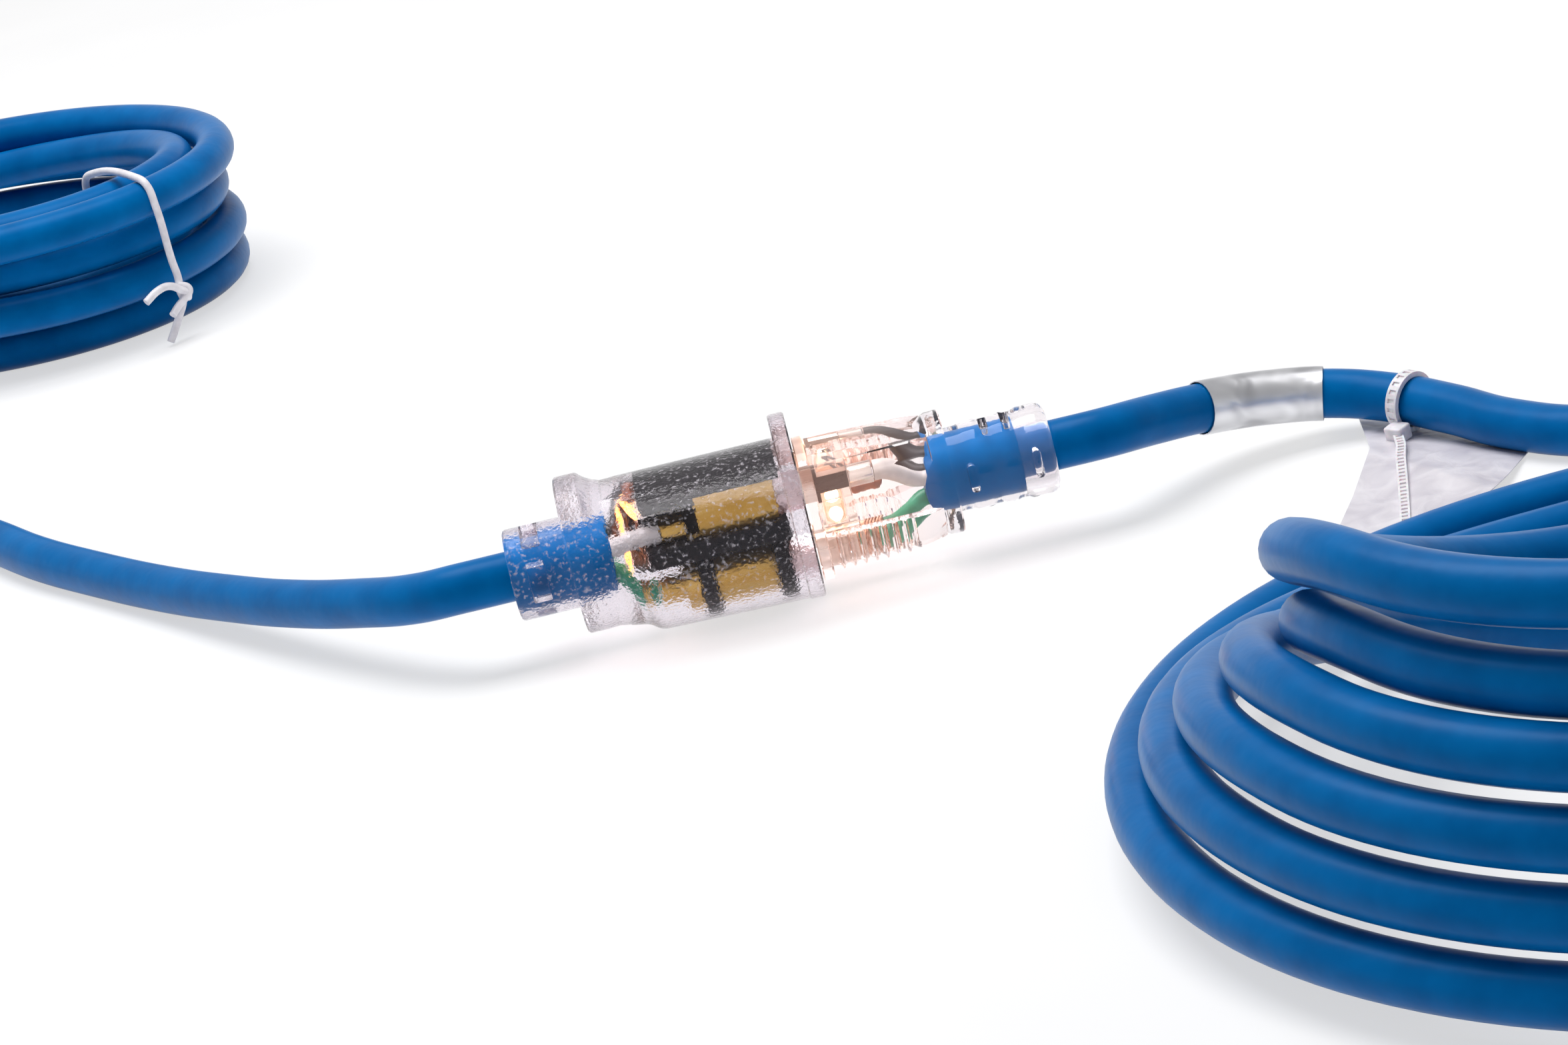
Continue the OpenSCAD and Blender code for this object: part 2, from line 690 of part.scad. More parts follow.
module plug_shell() {
    body_end = plug_body_len;
    color([0.96, 0.84, 0.80]) on_axis() difference() {
        union() {
            translate([0, 0, -disc_drop]) bar_x(face_gap, disc_t, disc_r);
            section(disc_t, body_end - ring_t) barrel_shape();
            intersection() {
                grip(disc_t);
                block([0, -big, -big], [big, big, -grip_drop]);
            }
            bar_x(body_end - ring_t, body_end, ring_r - 0.7, ring_r);
            bar_x(body_end, plug_len - 1.5, relief_d / 2);
            bar_x(plug_len - 1.5, plug_len, relief_d / 2, relief_d / 2 - 1.5);
        }
        holder_space(disc_t, holder_end);
        block([holder_end, -plug_chamber_half, -plug_chamber_drop],
            [plug_jacket_at - 4, plug_chamber_half, plug_chamber_top]);
        block([plug_jacket_at - 5, -plug_chamber_half + 2.2, -plug_chamber_drop],
            [plug_jacket_at, plug_chamber_half - 2.2, plug_chamber_top]);
        translate([0, 0, ground_z]) bar_x(holder_end, holder_end + 9.5, holder_pin_r);
        block([holder_end, -lead_d / 2 - 0.3, ground_z], [plug_jacket_at, lead_d / 2 + 0.3, 0]);
        bar_x(plug_jacket_at, plug_len + 1, cord_r);
        for (side = [-1, 1]) block([0, side * line_y - blade_t / 2, blade_rise - blade_w / 2],
            [disc_t + 1, side * line_y + blade_t / 2, blade_rise + blade_w / 2]);
        translate([0, 0, ground_z]) bar_x(0, disc_t + 1, ground_d / 2);
        for (i = [0 : len(relief_windows) - 1])
            sleeve_windows(body_end + relief_windows[i], relief_window_len, relief_d / 2, window_w,
                i == 0 || i == 3 ? [90, 270] : [0, 180]);
    }
}

module blade_holder() {
    color([0.93, 0.9, 0.88]) on_axis() difference() {
        holder_space(disc_t, holder_end);
        for (side = [-1, 1]) block([0, side * line_y - blade_t / 2, blade_rise - blade_w / 2],
            [holder_end + 1, side * line_y + blade_t / 2, blade_rise + blade_w / 2]);
        translate([0, 0, ground_z]) bar_x(0, holder_end + 1, ground_d / 2);
        translate([plug_lamp_x, 0, plug_lamp_z]) cylinder(h = big, r = lamp_d / 2 + lamp_gap);
    }
}

// A flat blade with a chamfered tip and a hole, and a crimp barrel behind the holder
module blade(side) {
    tip = 2;
    on_axis() translate([0, side * line_y, blade_rise]) {
        difference() {
            rotate([90, 0, 0]) translate([0, 0, -blade_t / 2]) linear_extrude(blade_t) polygon([
                [holder_end, -blade_w / 2],
                [tip - blade_len, -blade_w / 2],
                [-blade_len, -blade_w / 2 + tip],
                [-blade_len, blade_w / 2 - tip],
                [tip - blade_len, blade_w / 2],
                [holder_end, blade_w / 2]
            ]);
            translate([-blade_hole_at, 0, 0]) rotate([90, 0, 0])
                cylinder(h = 2 * blade_t, d = blade_hole_d, center = true);
        }
        difference() {
            bar_x(holder_end, holder_end + crimp_len, crimp_d / 2);
            bar_x(holder_end + 1, holder_end + crimp_len + 1, core_d / 2 + 0.05);
        }
    }
}

module line_blade() {
    color("#c8c9cc") blade(1);
}

module neutral_blade() {
    color("#c8c9cc") blade(-1);
}

module ground_pin() {
    color("#c8c9cc") on_axis() translate([0, 0, ground_z]) {
        bar_x(-ground_len, pin_tip - ground_len, ground_d / 4, ground_d / 2);
        bar_x(pin_tip - ground_len, holder_end, ground_d / 2);
        difference() {
            bar_x(holder_end, holder_end + crimp_len, crimp_d / 2);
            bar_x(holder_end + 1, holder_end + crimp_len + 1, core_d / 2 + 0.05);
        }
    }
}

module plug_lamp() {
    color("#ffb27a") on_axis() lamp(plug_lamp_x, plug_lamp_z);
}

module plug_resistor() {
    color("#8a5340") on_axis() translate([0, 0, plug_resistor_z])
        bar_x(holder_end, holder_end + resistor_len, resistor_d / 2);
}

module plug_lead(y0, z0, y1, z1) {
    on_axis() lead(holder_end + crimp_len, y0, z0, plug_jacket_at, y1, z1, lead_run);
}

module plug_black_lead() {
    color("#202024") plug_lead(line_y, blade_rise, jacket_lead_y, jacket_lead_z);
}

module plug_white_lead() {
    color("#e8e6e2") plug_lead(-line_y, blade_rise, -jacket_lead_y, jacket_lead_z);
}

module plug_green_lead() {
    color("#1f9a72") plug_lead(0, ground_z, 0, -jacket_lead_y - 0.4);
}

module plug_cord_end() {
    color("#0a66b8") on_axis() bar_x(plug_jacket_at, plug_len, cord_r);
}

// ---------- cord ----------

module cord_run_left() {
    color("#0a66b8") tube(left_run_path, cord_r, run_sides);
}

module coil_left() {
    color("#0a66b8") tube(left_path, cord_r, coil_sides);
}

module cord_link() {
    color("#0a66b8") tube(link_path, cord_r, run_sides);
}

module coil_right() {
    color("#0a66b8") tube(right_path, cord_r, coil_sides);
}

module cord_run_right() {
    color("#0a66b8") tube(right_run_path, cord_r, run_sides);
}

// ---------- label, ties and tag ----------

function between(a, b, f) = a + (b - a) * f;

module foil_label() {
    p = right_run_path;
    stretch = concat([between(p[label_from - 1], p[label_from], 0.85)],
        [for (i = [label_from : label_to - 1]) p[i]],
        [between(p[label_to - 1], p[label_to], 0.95)]);
    color("#c9cbd0") sleeve(stretch, cord_r + fit, cord_r + fit + label_t);
}

module cable_tie() {
    a = right_run_path[tie_at];
    b = right_run_path[tie_at + 1];
    half = band_w / 2 / norm(b - a);
    mid = between(a, b, tie_part);
    along = unit(b - a);
    side = unit(cross([0, 0, 1], along));
    head = mid + along * 1.5 - side * (cord_r + band_t + 0.65) - [0, 0, 3.6];
    color("#f2f0ea") {
        sleeve([between(a, b, tie_part - half), between(a, b, tie_part + half)],
            cord_r + fit, cord_r + fit + band_t);
        translate(head) rotate([0, 0, atan2(along.y, along.x)]) cube(tie_head, center = true);
        tube([head - [0.5, tie_head.y / 2 + 0.7, 0], head - [3.6, 16, 0.9], head - [9.2, 42, 1.3]],
            tail_r, run_sides);
    }
}

module tag() {
    color("#e4e2e6") translate([0, 0, 0.1]) linear_extrude(tag_t) polygon([
        [111.2, 19.5], [135, -20.5], [124.2, -37], [122.5, -49], [93.5, -41], [109.3, -3]
    ]);
}

// A wire over the bundle, down to the table on both sides, and its twisted ends
module twist_tie() {
    a = left_start - 360 * twist_at;
    drawn = [for (k = [0 : floor(left_total - twist_at)]) left_drawn(twist_at + k)];
    edge = left_oval_at(a, left_r - left_pitch * min(drawn));
    to = atan2(edge.y, edge.x);
    lean = (left_lean.x * cos(to) + left_lean.y * sin(to));
    far = norm(edge) + cord_r + twist_gap;
    near = norm(left_oval_at(a, left_r - left_pitch * max(drawn))) - cord_r - twist_gap;
    top = 2 * cut_z + left_step * (left_layers - 1) + flat_cut + twist_gap;
    w = wire_d;
    bend = 3;
    color("#e9e7e4") translate([left_centre.x, left_centre.y, 0]) rotate([90, 0, to]) {
        translate([0, 0, -w / 2]) linear_extrude(w) polygon([
            [near, 0], [near + lean, top - bend], [near + lean + bend, top],
            [far + lean - bend, top], [far + lean, top - bend], [far, 0],
            [far + w, 0], [far + w + lean, top + 1 - bend], [far + lean + 1 - bend, top + w],
            [near + lean + bend - 1, top + w], [near + lean - w, top + 1 - bend], [near - w, 0]
        ]);
        for (end = [-1, 1]) translate([far + w, 9, 0]) rotate([end * 35, 90, 0])
            cylinder(h = 11, d = w);
    }
}

connector_shell();
contact_carrier();
line_contact();
neutral_contact();
ground_contact();
connector_lamp();
connector_resistor();
connector_black_lead();
connector_white_lead();
connector_green_lead();
connector_cord_end();
plug_shell();
blade_holder();
line_blade();
neutral_blade();
ground_pin();
plug_lamp();
plug_resistor();
plug_black_lead();
plug_white_lead();
plug_green_lead();
plug_cord_end();
cord_run_left();
coil_left();
cord_link();
coil_right();
cord_run_right();
foil_label();
cable_tie();
tag();
twist_tie();
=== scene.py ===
import math
import bpy
from mathutils import Matrix, Vector


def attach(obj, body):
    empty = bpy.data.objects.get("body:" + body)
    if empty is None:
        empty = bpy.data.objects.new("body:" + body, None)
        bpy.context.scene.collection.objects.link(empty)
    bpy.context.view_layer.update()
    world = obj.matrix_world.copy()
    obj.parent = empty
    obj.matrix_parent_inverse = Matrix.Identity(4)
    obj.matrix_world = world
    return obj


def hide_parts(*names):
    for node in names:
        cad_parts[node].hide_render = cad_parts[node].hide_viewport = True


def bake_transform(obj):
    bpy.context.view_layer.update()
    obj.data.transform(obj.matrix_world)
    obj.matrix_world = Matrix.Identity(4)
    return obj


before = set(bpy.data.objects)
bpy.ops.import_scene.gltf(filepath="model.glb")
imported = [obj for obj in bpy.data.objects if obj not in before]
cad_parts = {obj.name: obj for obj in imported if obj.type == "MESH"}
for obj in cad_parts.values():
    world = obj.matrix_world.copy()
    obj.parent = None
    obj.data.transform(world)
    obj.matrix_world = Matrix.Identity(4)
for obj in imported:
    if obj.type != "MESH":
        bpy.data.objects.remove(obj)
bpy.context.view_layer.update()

# ---------- Camera ----------
# A 100 mm lens in front of the joined pair, looking 19.84 degrees down and rolled by 13.6 degrees.
down, roll = math.radians(19.84), math.radians(13.6)
ahead = Vector((0, math.cos(down), -math.sin(down)))
level_up = Vector((0, math.sin(down), math.cos(down)))
rightward = math.cos(roll) * Vector((1, 0, 0)) - math.sin(roll) * level_up
upward = math.sin(roll) * Vector((1, 0, 0)) + math.cos(roll) * level_up
bpy.ops.object.camera_add()
camera = bpy.context.object
camera.data.lens = 100
camera.data.sensor_width = 36
camera.data.clip_start = 0.01
stand = Matrix.Translation((-0.0001, -0.7626, 0.290))
camera.matrix_world = stand @ Matrix((rightward, upward, -ahead)).transposed().to_4x4()
bpy.context.scene.camera = camera


# ---------- Blue cord ----------
# A round jacket of soft blue PVC over three conductors, extruded, so its gloss is even along it and
# faintly rippled round it. One length runs from the plug through both coils to the connector.
def linear(colour):
    """An sRGB hex colour as linear red, green, blue and alpha."""
    parts = [int(colour[i:i + 2], 16) / 255 for i in (1, 3, 5)]
    return (*[c / 12.92 if c <= 0.04045 else ((c + 0.055) / 1.055) ** 2.4 for c in parts], 1)


def add(tree, kind, inputs=None, to=None, stops=(), **settings):
    """Adds a shader node. An input is a value or the socket that feeds it, to is the socket that the
    node feeds, and a stop is a position on a ramp with its hex colour."""
    made = tree.nodes.new("ShaderNode" + kind)
    for name, value in settings.items():
        setattr(made, name, value)
    for i, (position, colour) in enumerate(stops):
        made.color_ramp.elements[i].position = position
        made.color_ramp.elements[i].color = linear(colour)
    for name, value in (inputs or {}).items():
        if isinstance(value, bpy.types.NodeSocket):
            tree.links.new(value, made.inputs[name])
        else:
            made.inputs[name].default_value = value
    if to:
        tree.links.new(made.outputs[0], to)
    return made


def new_material(name, **sockets):
    """A material, its node tree and its shader, with the shader's own sockets set."""
    made = bpy.data.materials.new(name)
    made.use_nodes = True
    shader = made.node_tree.nodes["Principled BSDF"]
    for socket, value in sockets.items():
        shader.inputs[socket.replace("_", " ")].default_value = value
    return made, made.node_tree, shader


def patches(tree, size, detail=2, distortion=0.0, stretch=1):
    """Soft patches about size mm across that are fixed to the piece; they can be stretched along X."""
    place = add(tree, "TexCoord").outputs["Object"]
    if stretch > 1:
        place = add(tree, "Mapping", {"Vector": place, "Scale": (1 / stretch, 1, 1)}).outputs["Vector"]
    return add(tree, "TexNoise", {"Vector": place, "Scale": 1000 / size, "Detail": detail,
                                  "Distortion": distortion}).outputs["Fac"]


def colour_by(pattern, tree, shader, dark, light, spread=(0.3, 0.7), rough=(), relief=0):
    """Colours a surface from dark to light by a pattern, which may also set its roughness between two
    values and raise it by up to relief mm."""
    add(tree, "ValToRGB", {"Fac": pattern}, shader.inputs["Base Color"], zip(spread, (dark, light)))
    if rough:
        add(tree, "MapRange", {"Value": pattern, "To Min": rough[0], "To Max": rough[1]},
            shader.inputs["Roughness"])
    if relief:
        add(tree, "Bump", {"Height": pattern, "Distance": relief / 1000}, shader.inputs["Normal"])


# Extruded soft PVC: a saturated blue with a broad soft highlight and slow dull patches
blue_pvc, tree, shader = new_material("extruded_blue_pvc", IOR=1.53, Specular_IOR_Level=0.22,
                                      Specular_Tint=linear("#2f6ea6"))
colour_by(patches(tree, 9, 3), tree, shader, "#005c9c", "#0069ad", rough=(0.3, 0.4))
add(tree, "Bump", {"Height": patches(tree, 5), "Distance": 0.00012}, shader.inputs["Normal"])

cord_d = 9.5
cord_r = cord_d / 2
pair_z = 17.2
meeting_x = 4.45
plug_exit = Vector((51.55, 0, pair_z))
connector_exit = Vector((-51.55, 0, pair_z))


def smooth(x):
    """Eases from 0 to 1 as x goes from 0 to 1."""
    x = min(max(x, 0), 1)
    return x * x * (3 - 2 * x)


def climb(t, turn):
    """How much of a climb over half a turn, round that turn, is done after t turns."""
    return smooth((t - turn + 0.25) / 0.5)


# The right coil lies turned by right_heading. Its turns are evenly spaced at first, then ease off and are
# drawn in, and the last one opens again as it climbs on top.
right_middle, right_heading = (144.5, -150), math.radians(-88)
right_turns, even_turns, easing_turns, open_from, opening = 6.1, 2.6, 2.5, 5, 1.5
half_length, half_width = 107, 105
length_step, width_step, drawn_step, front_step = 8, 5.8, 7.3, 6.3
front_lift, last_lift = 10.8, 11
lift_begins, lift_takes = 3, 107


def right_coil_point(t):
    """The right coil after t turns: its backs lie fanned out, its fronts are stacked."""
    turn = math.radians(90 - 360 * t)
    eased = min(max((t - even_turns) / easing_turns, 0), 1) * math.pi / 2
    up = min(t, even_turns) + 2 * easing_turns / math.pi * math.sin(eased)
    drawn = 2 * easing_turns / math.pi * (1 - math.cos(eased)) - opening * max(t - open_from, 0)
    u = (half_length - length_step * up - drawn_step * drawn) * math.cos(turn) + front_step * up
    v = (half_width - width_step * up - drawn_step * drawn) * math.sin(turn)
    from_back = math.degrees(math.acos(min(max(-math.cos(turn), -1), 1)))
    z = (cord_r + front_lift * up * smooth((from_back - lift_begins) / lift_takes)
         + last_lift * climb(t, open_from))
    return Vector((*right_middle, z)) + Matrix.Rotation(right_heading, 3, "Z") @ Vector((u, v, 0))


# The left coil is an oval of layers that spiral in and out again by turns and lean over a little
left_middle, left_heading, left_start = (-184.5, 337), math.radians(145), 35
layers, layer_turns, layer_step, strand_step = 4, 1.45, 10.2, 10.8
left_r, oval, lean = 65, 8, Vector((2, -8, 0))


def left_coil_point(t):
    """The left coil after t turns."""
    layer = min(int(t / layer_turns + 0.0001), layers - 1)
    drawn = t - layer_turns * layer if layer % 2 == 0 else layer_turns * (layer + 1) - t
    height = sum(climb(t, layer_turns * i) for i in range(1, layers))
    turn, r = math.radians(left_start - 360 * t), left_r - strand_step * drawn
    across = Matrix.Rotation(left_heading, 3, "Z") @ Vector(
        ((r + oval) * math.cos(turn), (r - oval) * math.sin(turn), 0))
    return (Vector((*left_middle, cord_r + layer_step * height)) + across
            + lean * height / (layers - 1))


def coil_path(point, turns):
    """Points along a coil, with a straight piece of one diameter at both ends."""
    per_turn = 144
    line = [point(i / per_turn) for i in range(round(turns * per_turn) + 1)]
    return ([line[0] + (line[0] - line[1]).normalized() * cord_d] + line
            + [line[-1] + (line[-1] - line[-2]).normalized() * cord_d])


right_coil_path = coil_path(right_coil_point, right_turns)
left_coil_path = coil_path(left_coil_point, layers * layer_turns)


def run_path(start, route, end, heading):
    """A run's points from start along its route, ending square on a coil. A point of the route that has
    no height lies on the table."""
    return ([start] + [Vector(p) if len(p) == 3 else Vector((*p, cord_r)) for p in route]
            + [end - heading * 2 * cord_d, end])


right_run = run_path(plug_exit, [
    (61, 0, pair_z), (72, 7, 15), (83, 14, 12.4), (95, 17, 10.3), (107, 16, 8.4), (117, 10, 7),
    (126, -1, 6), (134, -13, 5), (148, -27), (171, -34), (197, -42), (222, -57), (241, -80), (250, -107),
], right_coil_path[0], (right_coil_path[1] - right_coil_path[0]).normalized())
left_run = run_path(connector_exit, [
    (-61, 0, pair_z), (-70, 5, 15.5), (-82, 17, 13), (-96, 34, 10), (-111, 54, 7.5), (-126, 75, 5.5),
    (-142, 97), (-155, 115), (-167, 135), (-182, 158), (-198, 181), (-214, 205), (-229, 231),
    (-241, 260), (-249, 290),
], left_coil_path[0], (left_coil_path[1] - left_coil_path[0]).normalized())
left_way_out = (left_coil_path[-1] - left_coil_path[-2]).normalized()
link = run_path(left_coil_path[-1], [
    left_coil_path[-1] + left_way_out * 2 * cord_d,
    (-240, 275, 31), (-257, 263, 25), (-268, 243, 18), (-275, 218, 11), (-279, 191, 6), (-281, 163),
    (-280, 135), (-278, 107), (-275, 79), (-271, 51), (-266, 23), (-260, -5), (-252, -32), (-243, -59),
    (-234, -86), (-224, -112), (-213, -138), (-199, -163), (-182, -186), (-164, -208), (-144, -228),
    (-123, -247), (-101, -264), (-77, -279), (-52, -292), (-26, -303), (1, -312), (29, -320), (57, -327),
    (85, -332), (112, -334, 5.5), (138, -330, 9), (160, -318, 16), (176, -300, 27), (187, -280, 40),
    (195, -261, 52),
], right_coil_path[-1], (right_coil_path[-2] - right_coil_path[-1]).normalized())


def line_object(name, points, radius, curved):
    """A round rod along points in mm: through them in smooth curves, or straight from one to the next."""
    line = bpy.data.curves.new(name, "CURVE")
    line.dimensions = "3D"
    line.bevel_depth = radius / 1000
    line.bevel_resolution = 9
    line.use_fill_caps = True
    line.resolution_u = 8
    spline = line.splines.new("BEZIER" if curved else "POLY")
    knots = spline.bezier_points if curved else spline.points
    knots.add(len(points) - 1)
    for knot, point in zip(knots, points):
        knot.co = point / 1000 if curved else (*(point / 1000), 1)
        if curved:
            knot.handle_left_type = knot.handle_right_type = "AUTO"
    rod = bpy.data.objects.new(name, line)
    bpy.context.scene.collection.objects.link(rod)
    return rod


def pick(piece):
    """Selects one piece alone and makes it the active one."""
    bpy.ops.object.select_all(action="DESELECT")
    bpy.context.view_layer.objects.active = piece
    piece.select_set(True)


def as_mesh(piece):
    """Turns a curve into a mesh, with its place in the mesh."""
    pick(piece)
    bpy.ops.object.convert(target="MESH")
    bpy.ops.object.transform_apply(location=True, rotation=True, scale=True)
    bpy.ops.object.mode_set(mode="EDIT")
    bpy.ops.mesh.select_all(action="SELECT")
    bpy.ops.mesh.remove_doubles(threshold=1e-6)
    bpy.ops.mesh.normals_make_consistent(inside=False)
    bpy.ops.object.mode_set(mode="OBJECT")
    return piece


# A cord's end that lies on another cord counts as lying on the object
for name, points, node, metres, lay in [
        ("left_run", left_run, "cord_run_left", 0.40, "loose"),
        ("left_coil", left_coil_path, "coil_left", 2.11, "coiled"),
        ("link_between_coils", link, "cord_link", 1.04, "loose"),
        ("right_coil", right_coil_path, "coil_right", 3.32, "coiled")]:
    piece = line_object(name, points, cord_r, lay == "loose")
    piece.data.materials.append(blue_pvc)
    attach(piece, "connector")
    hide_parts(node)

# The right run is made a mesh, and its centre line is kept for the label
centre_line = as_mesh(line_object("right_run_centre", right_run, 0, True))
right_run_line = [v.co.copy() for v in centre_line.data.vertices]
bpy.data.objects.remove(centre_line)
right_run_cord = as_mesh(line_object("right_run", right_run, cord_r, True))
bpy.ops.object.shade_smooth()
right_run_cord.data.materials.append(blue_pvc)
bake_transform(right_run_cord)
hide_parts("cord_run_right")


# ---------- Ends of the cord inside the two mouldings ----------
# The jacket runs on into each moulding and ends in a square cut, where the three conductors come out.
def at(x, y=0, z=0):
    """A point measured in mm from the middle of the two faces, on the cord's axis."""
    return Vector((meeting_x + x, y, pair_z + z)) / 1000


def begin(piece, name):
    """Names the object that an operator has just made, puts its place in its mesh and edits it."""
    piece.name = piece.data.name = name
    bpy.ops.object.transform_apply(location=True, rotation=True, scale=True)
    bpy.ops.object.mode_set(mode="EDIT")
    bpy.ops.mesh.select_all(action="SELECT")
    return piece


def end_edit():
    """Closes up doubles, turns the faces outwards and leaves edit mode."""
    bpy.ops.mesh.select_all(action="SELECT")
    bpy.ops.mesh.remove_doubles(threshold=1e-7)
    bpy.ops.mesh.normals_make_consistent(inside=False)
    bpy.ops.object.mode_set(mode="OBJECT")


def turned(name, stations, sides=96):
    """A closed round solid along X, extruded from one station to the next; each is x, radius and
    height of its centre, in mm from the axis at the faces."""
    x, radius, height = stations[0]
    bpy.ops.object.select_all(action="DESELECT")
    bpy.ops.mesh.primitive_circle_add(vertices=sides, radius=radius / 1000, fill_type="NGON",
                                      location=at(x, 0, height), rotation=(0, math.pi / 2, 0))
    piece = begin(bpy.context.object, name)
    for (x0, r0, z0), (x1, r1, z1) in zip(stations, stations[1:]):
        bpy.ops.mesh.extrude_region_move(
            TRANSFORM_OT_translate={"value": ((x1 - x0) / 1000, 0, (z1 - z0) / 1000)})
        bpy.ops.transform.resize(value=(1, r1 / r0, r1 / r0), center_override=at(x1, 0, z1))
    end_edit()
    return piece


def dress(piece, body, finish, slot, *nodes, sharp=35):
    """Gives a finished piece its material and smooth shading, parents it to its body and hides the CAD
    nodes it stands for; slot is not used.
    """
    pick(piece)
    bpy.ops.object.shade_smooth_by_angle(angle=math.radians(sharp))
    piece.data.materials.clear()
    piece.data.materials.append(finish)
    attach(piece, body)
    if nodes:
        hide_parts(*nodes)


dress(turned("connector_jacket_end", [(-56, cord_r, 0), (-37.5, cord_r, 0), (-37.3, 4.55, 0)], 48),
      "connector", blue_pvc, "blue_pvc", "connector_cord_end")
dress(turned("plug_jacket_end", [(23.1, 4.55, 0), (23.3, cord_r, 0), (47.1, cord_r, 0)], 48),
      "plug", blue_pvc, "blue_pvc", "plug_cord_end")

# ---------- Contact carrier and contacts ----------
# A black nylon moulding holds two brass sockets that grip the blades and a brass tube for the ground
# pin. All three end in barrels that are crimped on the conductors.
# Moulded black nylon: nearly black with a dull sheen and a fine spark-eroded grain
black_nylon, tree, shader = new_material("moulded_black_nylon", IOR=1.53, Specular_IOR_Level=0.15)
colour_by(patches(tree, 0.5, 4), tree, shader, "#0b0a0d", "#1a181c", spread=(0.35, 0.7),
          rough=(0.4, 0.6), relief=0.05)

# Stamped brass strip: warm yellow with rolling marks along it and darker handled spots
brass, tree, shader = new_material("stamped_brass", Metallic=1)
colour_by(patches(tree, 1.5, 3, stretch=12.5), tree, shader, "#b98f3c", "#dcb96a",
          rough=(0.28, 0.42), relief=0.03)


def change(piece, kind, **settings):
    """Gives a piece a modifier with its settings and applies it."""
    pick(piece)
    step = piece.modifiers.new(kind, kind)
    for name, value in settings.items():
        setattr(step, name, value)
    bpy.ops.object.modifier_apply(modifier=step.name)


def rounded_copy(node, name, edge):
    """A copy of a CAD node with its triangles merged and its edges rounded by edge mm."""
    piece = bpy.data.objects.new(name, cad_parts[node].data.copy())
    bpy.context.scene.collection.objects.link(piece)
    pick(piece)
    bpy.ops.object.mode_set(mode="EDIT")
    bpy.ops.mesh.select_all(action="SELECT")
    bpy.ops.mesh.remove_doubles(threshold=1e-6)
    bpy.ops.mesh.dissolve_limited(angle_limit=math.radians(0.5))
    end_edit()
    change(piece, "BEVEL", width=edge / 1000, segments=2, limit_method="ANGLE",
           angle_limit=math.radians(40))
    return piece


dress(rounded_copy("contact_carrier", "carrier_moulding", 0.25), "connector", black_nylon,
      "black_nylon", "contact_carrier")
for node, name in [("line_contact", "line_socket"), ("neutral_contact", "neutral_socket"),
                   ("ground_contact", "ground_socket")]:
    dress(rounded_copy(node, name, 0.08), "connector", brass, "brass", node)

# ---------- Blades and ground pin ----------
# Stamped blades and a folded pin, nickel-plated brass, moulded into the plug's bridge.
# Nickel plate: pale warm grey, polished, with fine draw marks along the blade
nickel, tree, shader = new_material("nickel_plated_brass", Metallic=1)
colour_by(patches(tree, 0.7, 4, stretch=20), tree, shader, "#d8d2cc", "#efeae6",
          rough=(0.22, 0.36), relief=0.01)


def block(name, low, high, edge=0):
    """A block between two corners, in mm from the axis at the faces, with its edges rounded."""
    low, high = at(*low), at(*high)
    bpy.ops.object.select_all(action="DESELECT")
    bpy.ops.mesh.primitive_cube_add(size=1, location=(low + high) / 2, scale=high - low)
    piece = begin(bpy.context.object, name)
    if edge:
        bpy.ops.mesh.bevel(offset=edge / 1000, segments=3, affect="EDGES")
    end_edit()
    return piece


def combine(piece, other, how):
    """Joins another solid to the piece, or cuts it away; the other is then gone."""
    change(piece, "BOOLEAN", operation=how, object=other, solver="EXACT")
    bpy.data.objects.remove(other)


blade_y, pin_z = 6.35, -6.2
for node, name, side in [("line_blade", "line_prong", 1), ("neutral_blade", "neutral_prong", -1),
                         ("ground_pin", "ground_prong", 0)]:
    prong = rounded_copy(node, name, 0.15)
    if side:
        # Behind the disc a blade narrows to the shank that ends in its crimp
        for low, high in [(1, 4.4), (7, 10.5)]:
            waste = block("waste", (3.2, blade_y * side - 1.2, low), (8.7, blade_y * side + 1.2, high))
            combine(prong, waste, "DIFFERENCE")
    dress(prong, "plug", nickel, "nickel_plate", node)

# The ground barrel is pressed round its conductor in a herringbone of raised ribs
barrel_r, rib_pitch, rib_slant, rib_steps = 1.9, 0.62, 1.1, 6
barrel = turned("ground_barrel", [(9, 1.75, pin_z), (9.2, barrel_r, pin_z), (13.3, barrel_r, pin_z),
                                  (13.5, 1.75, pin_z)], 32)
ribs = []
for i in range(6):
    rib = [at(9.3 + rib_pitch * i + rib_slant * abs(k) / rib_steps,
              -barrel_r * math.cos(math.radians(15 * k)),
              pin_z + barrel_r * math.sin(math.radians(15 * k))) * 1000
           for k in range(-rib_steps, rib_steps + 1)]
    ribs.append(as_mesh(line_object("rib", rib, 0.2, True)))
pick(barrel)
for rib in ribs:
    rib.select_set(True)
bpy.ops.object.join()
# Tinned copper of the barrel: pinkish where the tin is thin
copper, tree, shader = new_material("tinned_copper", Metallic=1)
colour_by(patches(tree, 0.6, 3), tree, shader, "#b8866f", "#d9b9a6", spread=(0.35, 0.65),
          rough=(0.2, 0.4))
dress(barrel, "plug", copper, "nickel_plate")


# ---------- Conductors ----------
# Stranded copper in black, white and green PVC, from the crimps to the cut end of the jacket.
def insulation(name, dark, light):
    """Extruded PVC insulation: one colour, dusted with talc so it is a little paler in patches."""
    made, tree, shader = new_material(name, IOR=1.53)
    colour_by(patches(tree, 2.5, 4), tree, shader, dark, light, spread=(0.35, 0.7), rough=(0.35, 0.5))
    return made


def wire_through(points, name, radius, body, finish, slot, *nodes):
    """A round wire through points in mm from the axis at the faces."""
    wire = line_object(name, [at(*p) * 1000 for p in points], radius, True)
    dress(as_mesh(wire), body, finish, slot, *nodes)


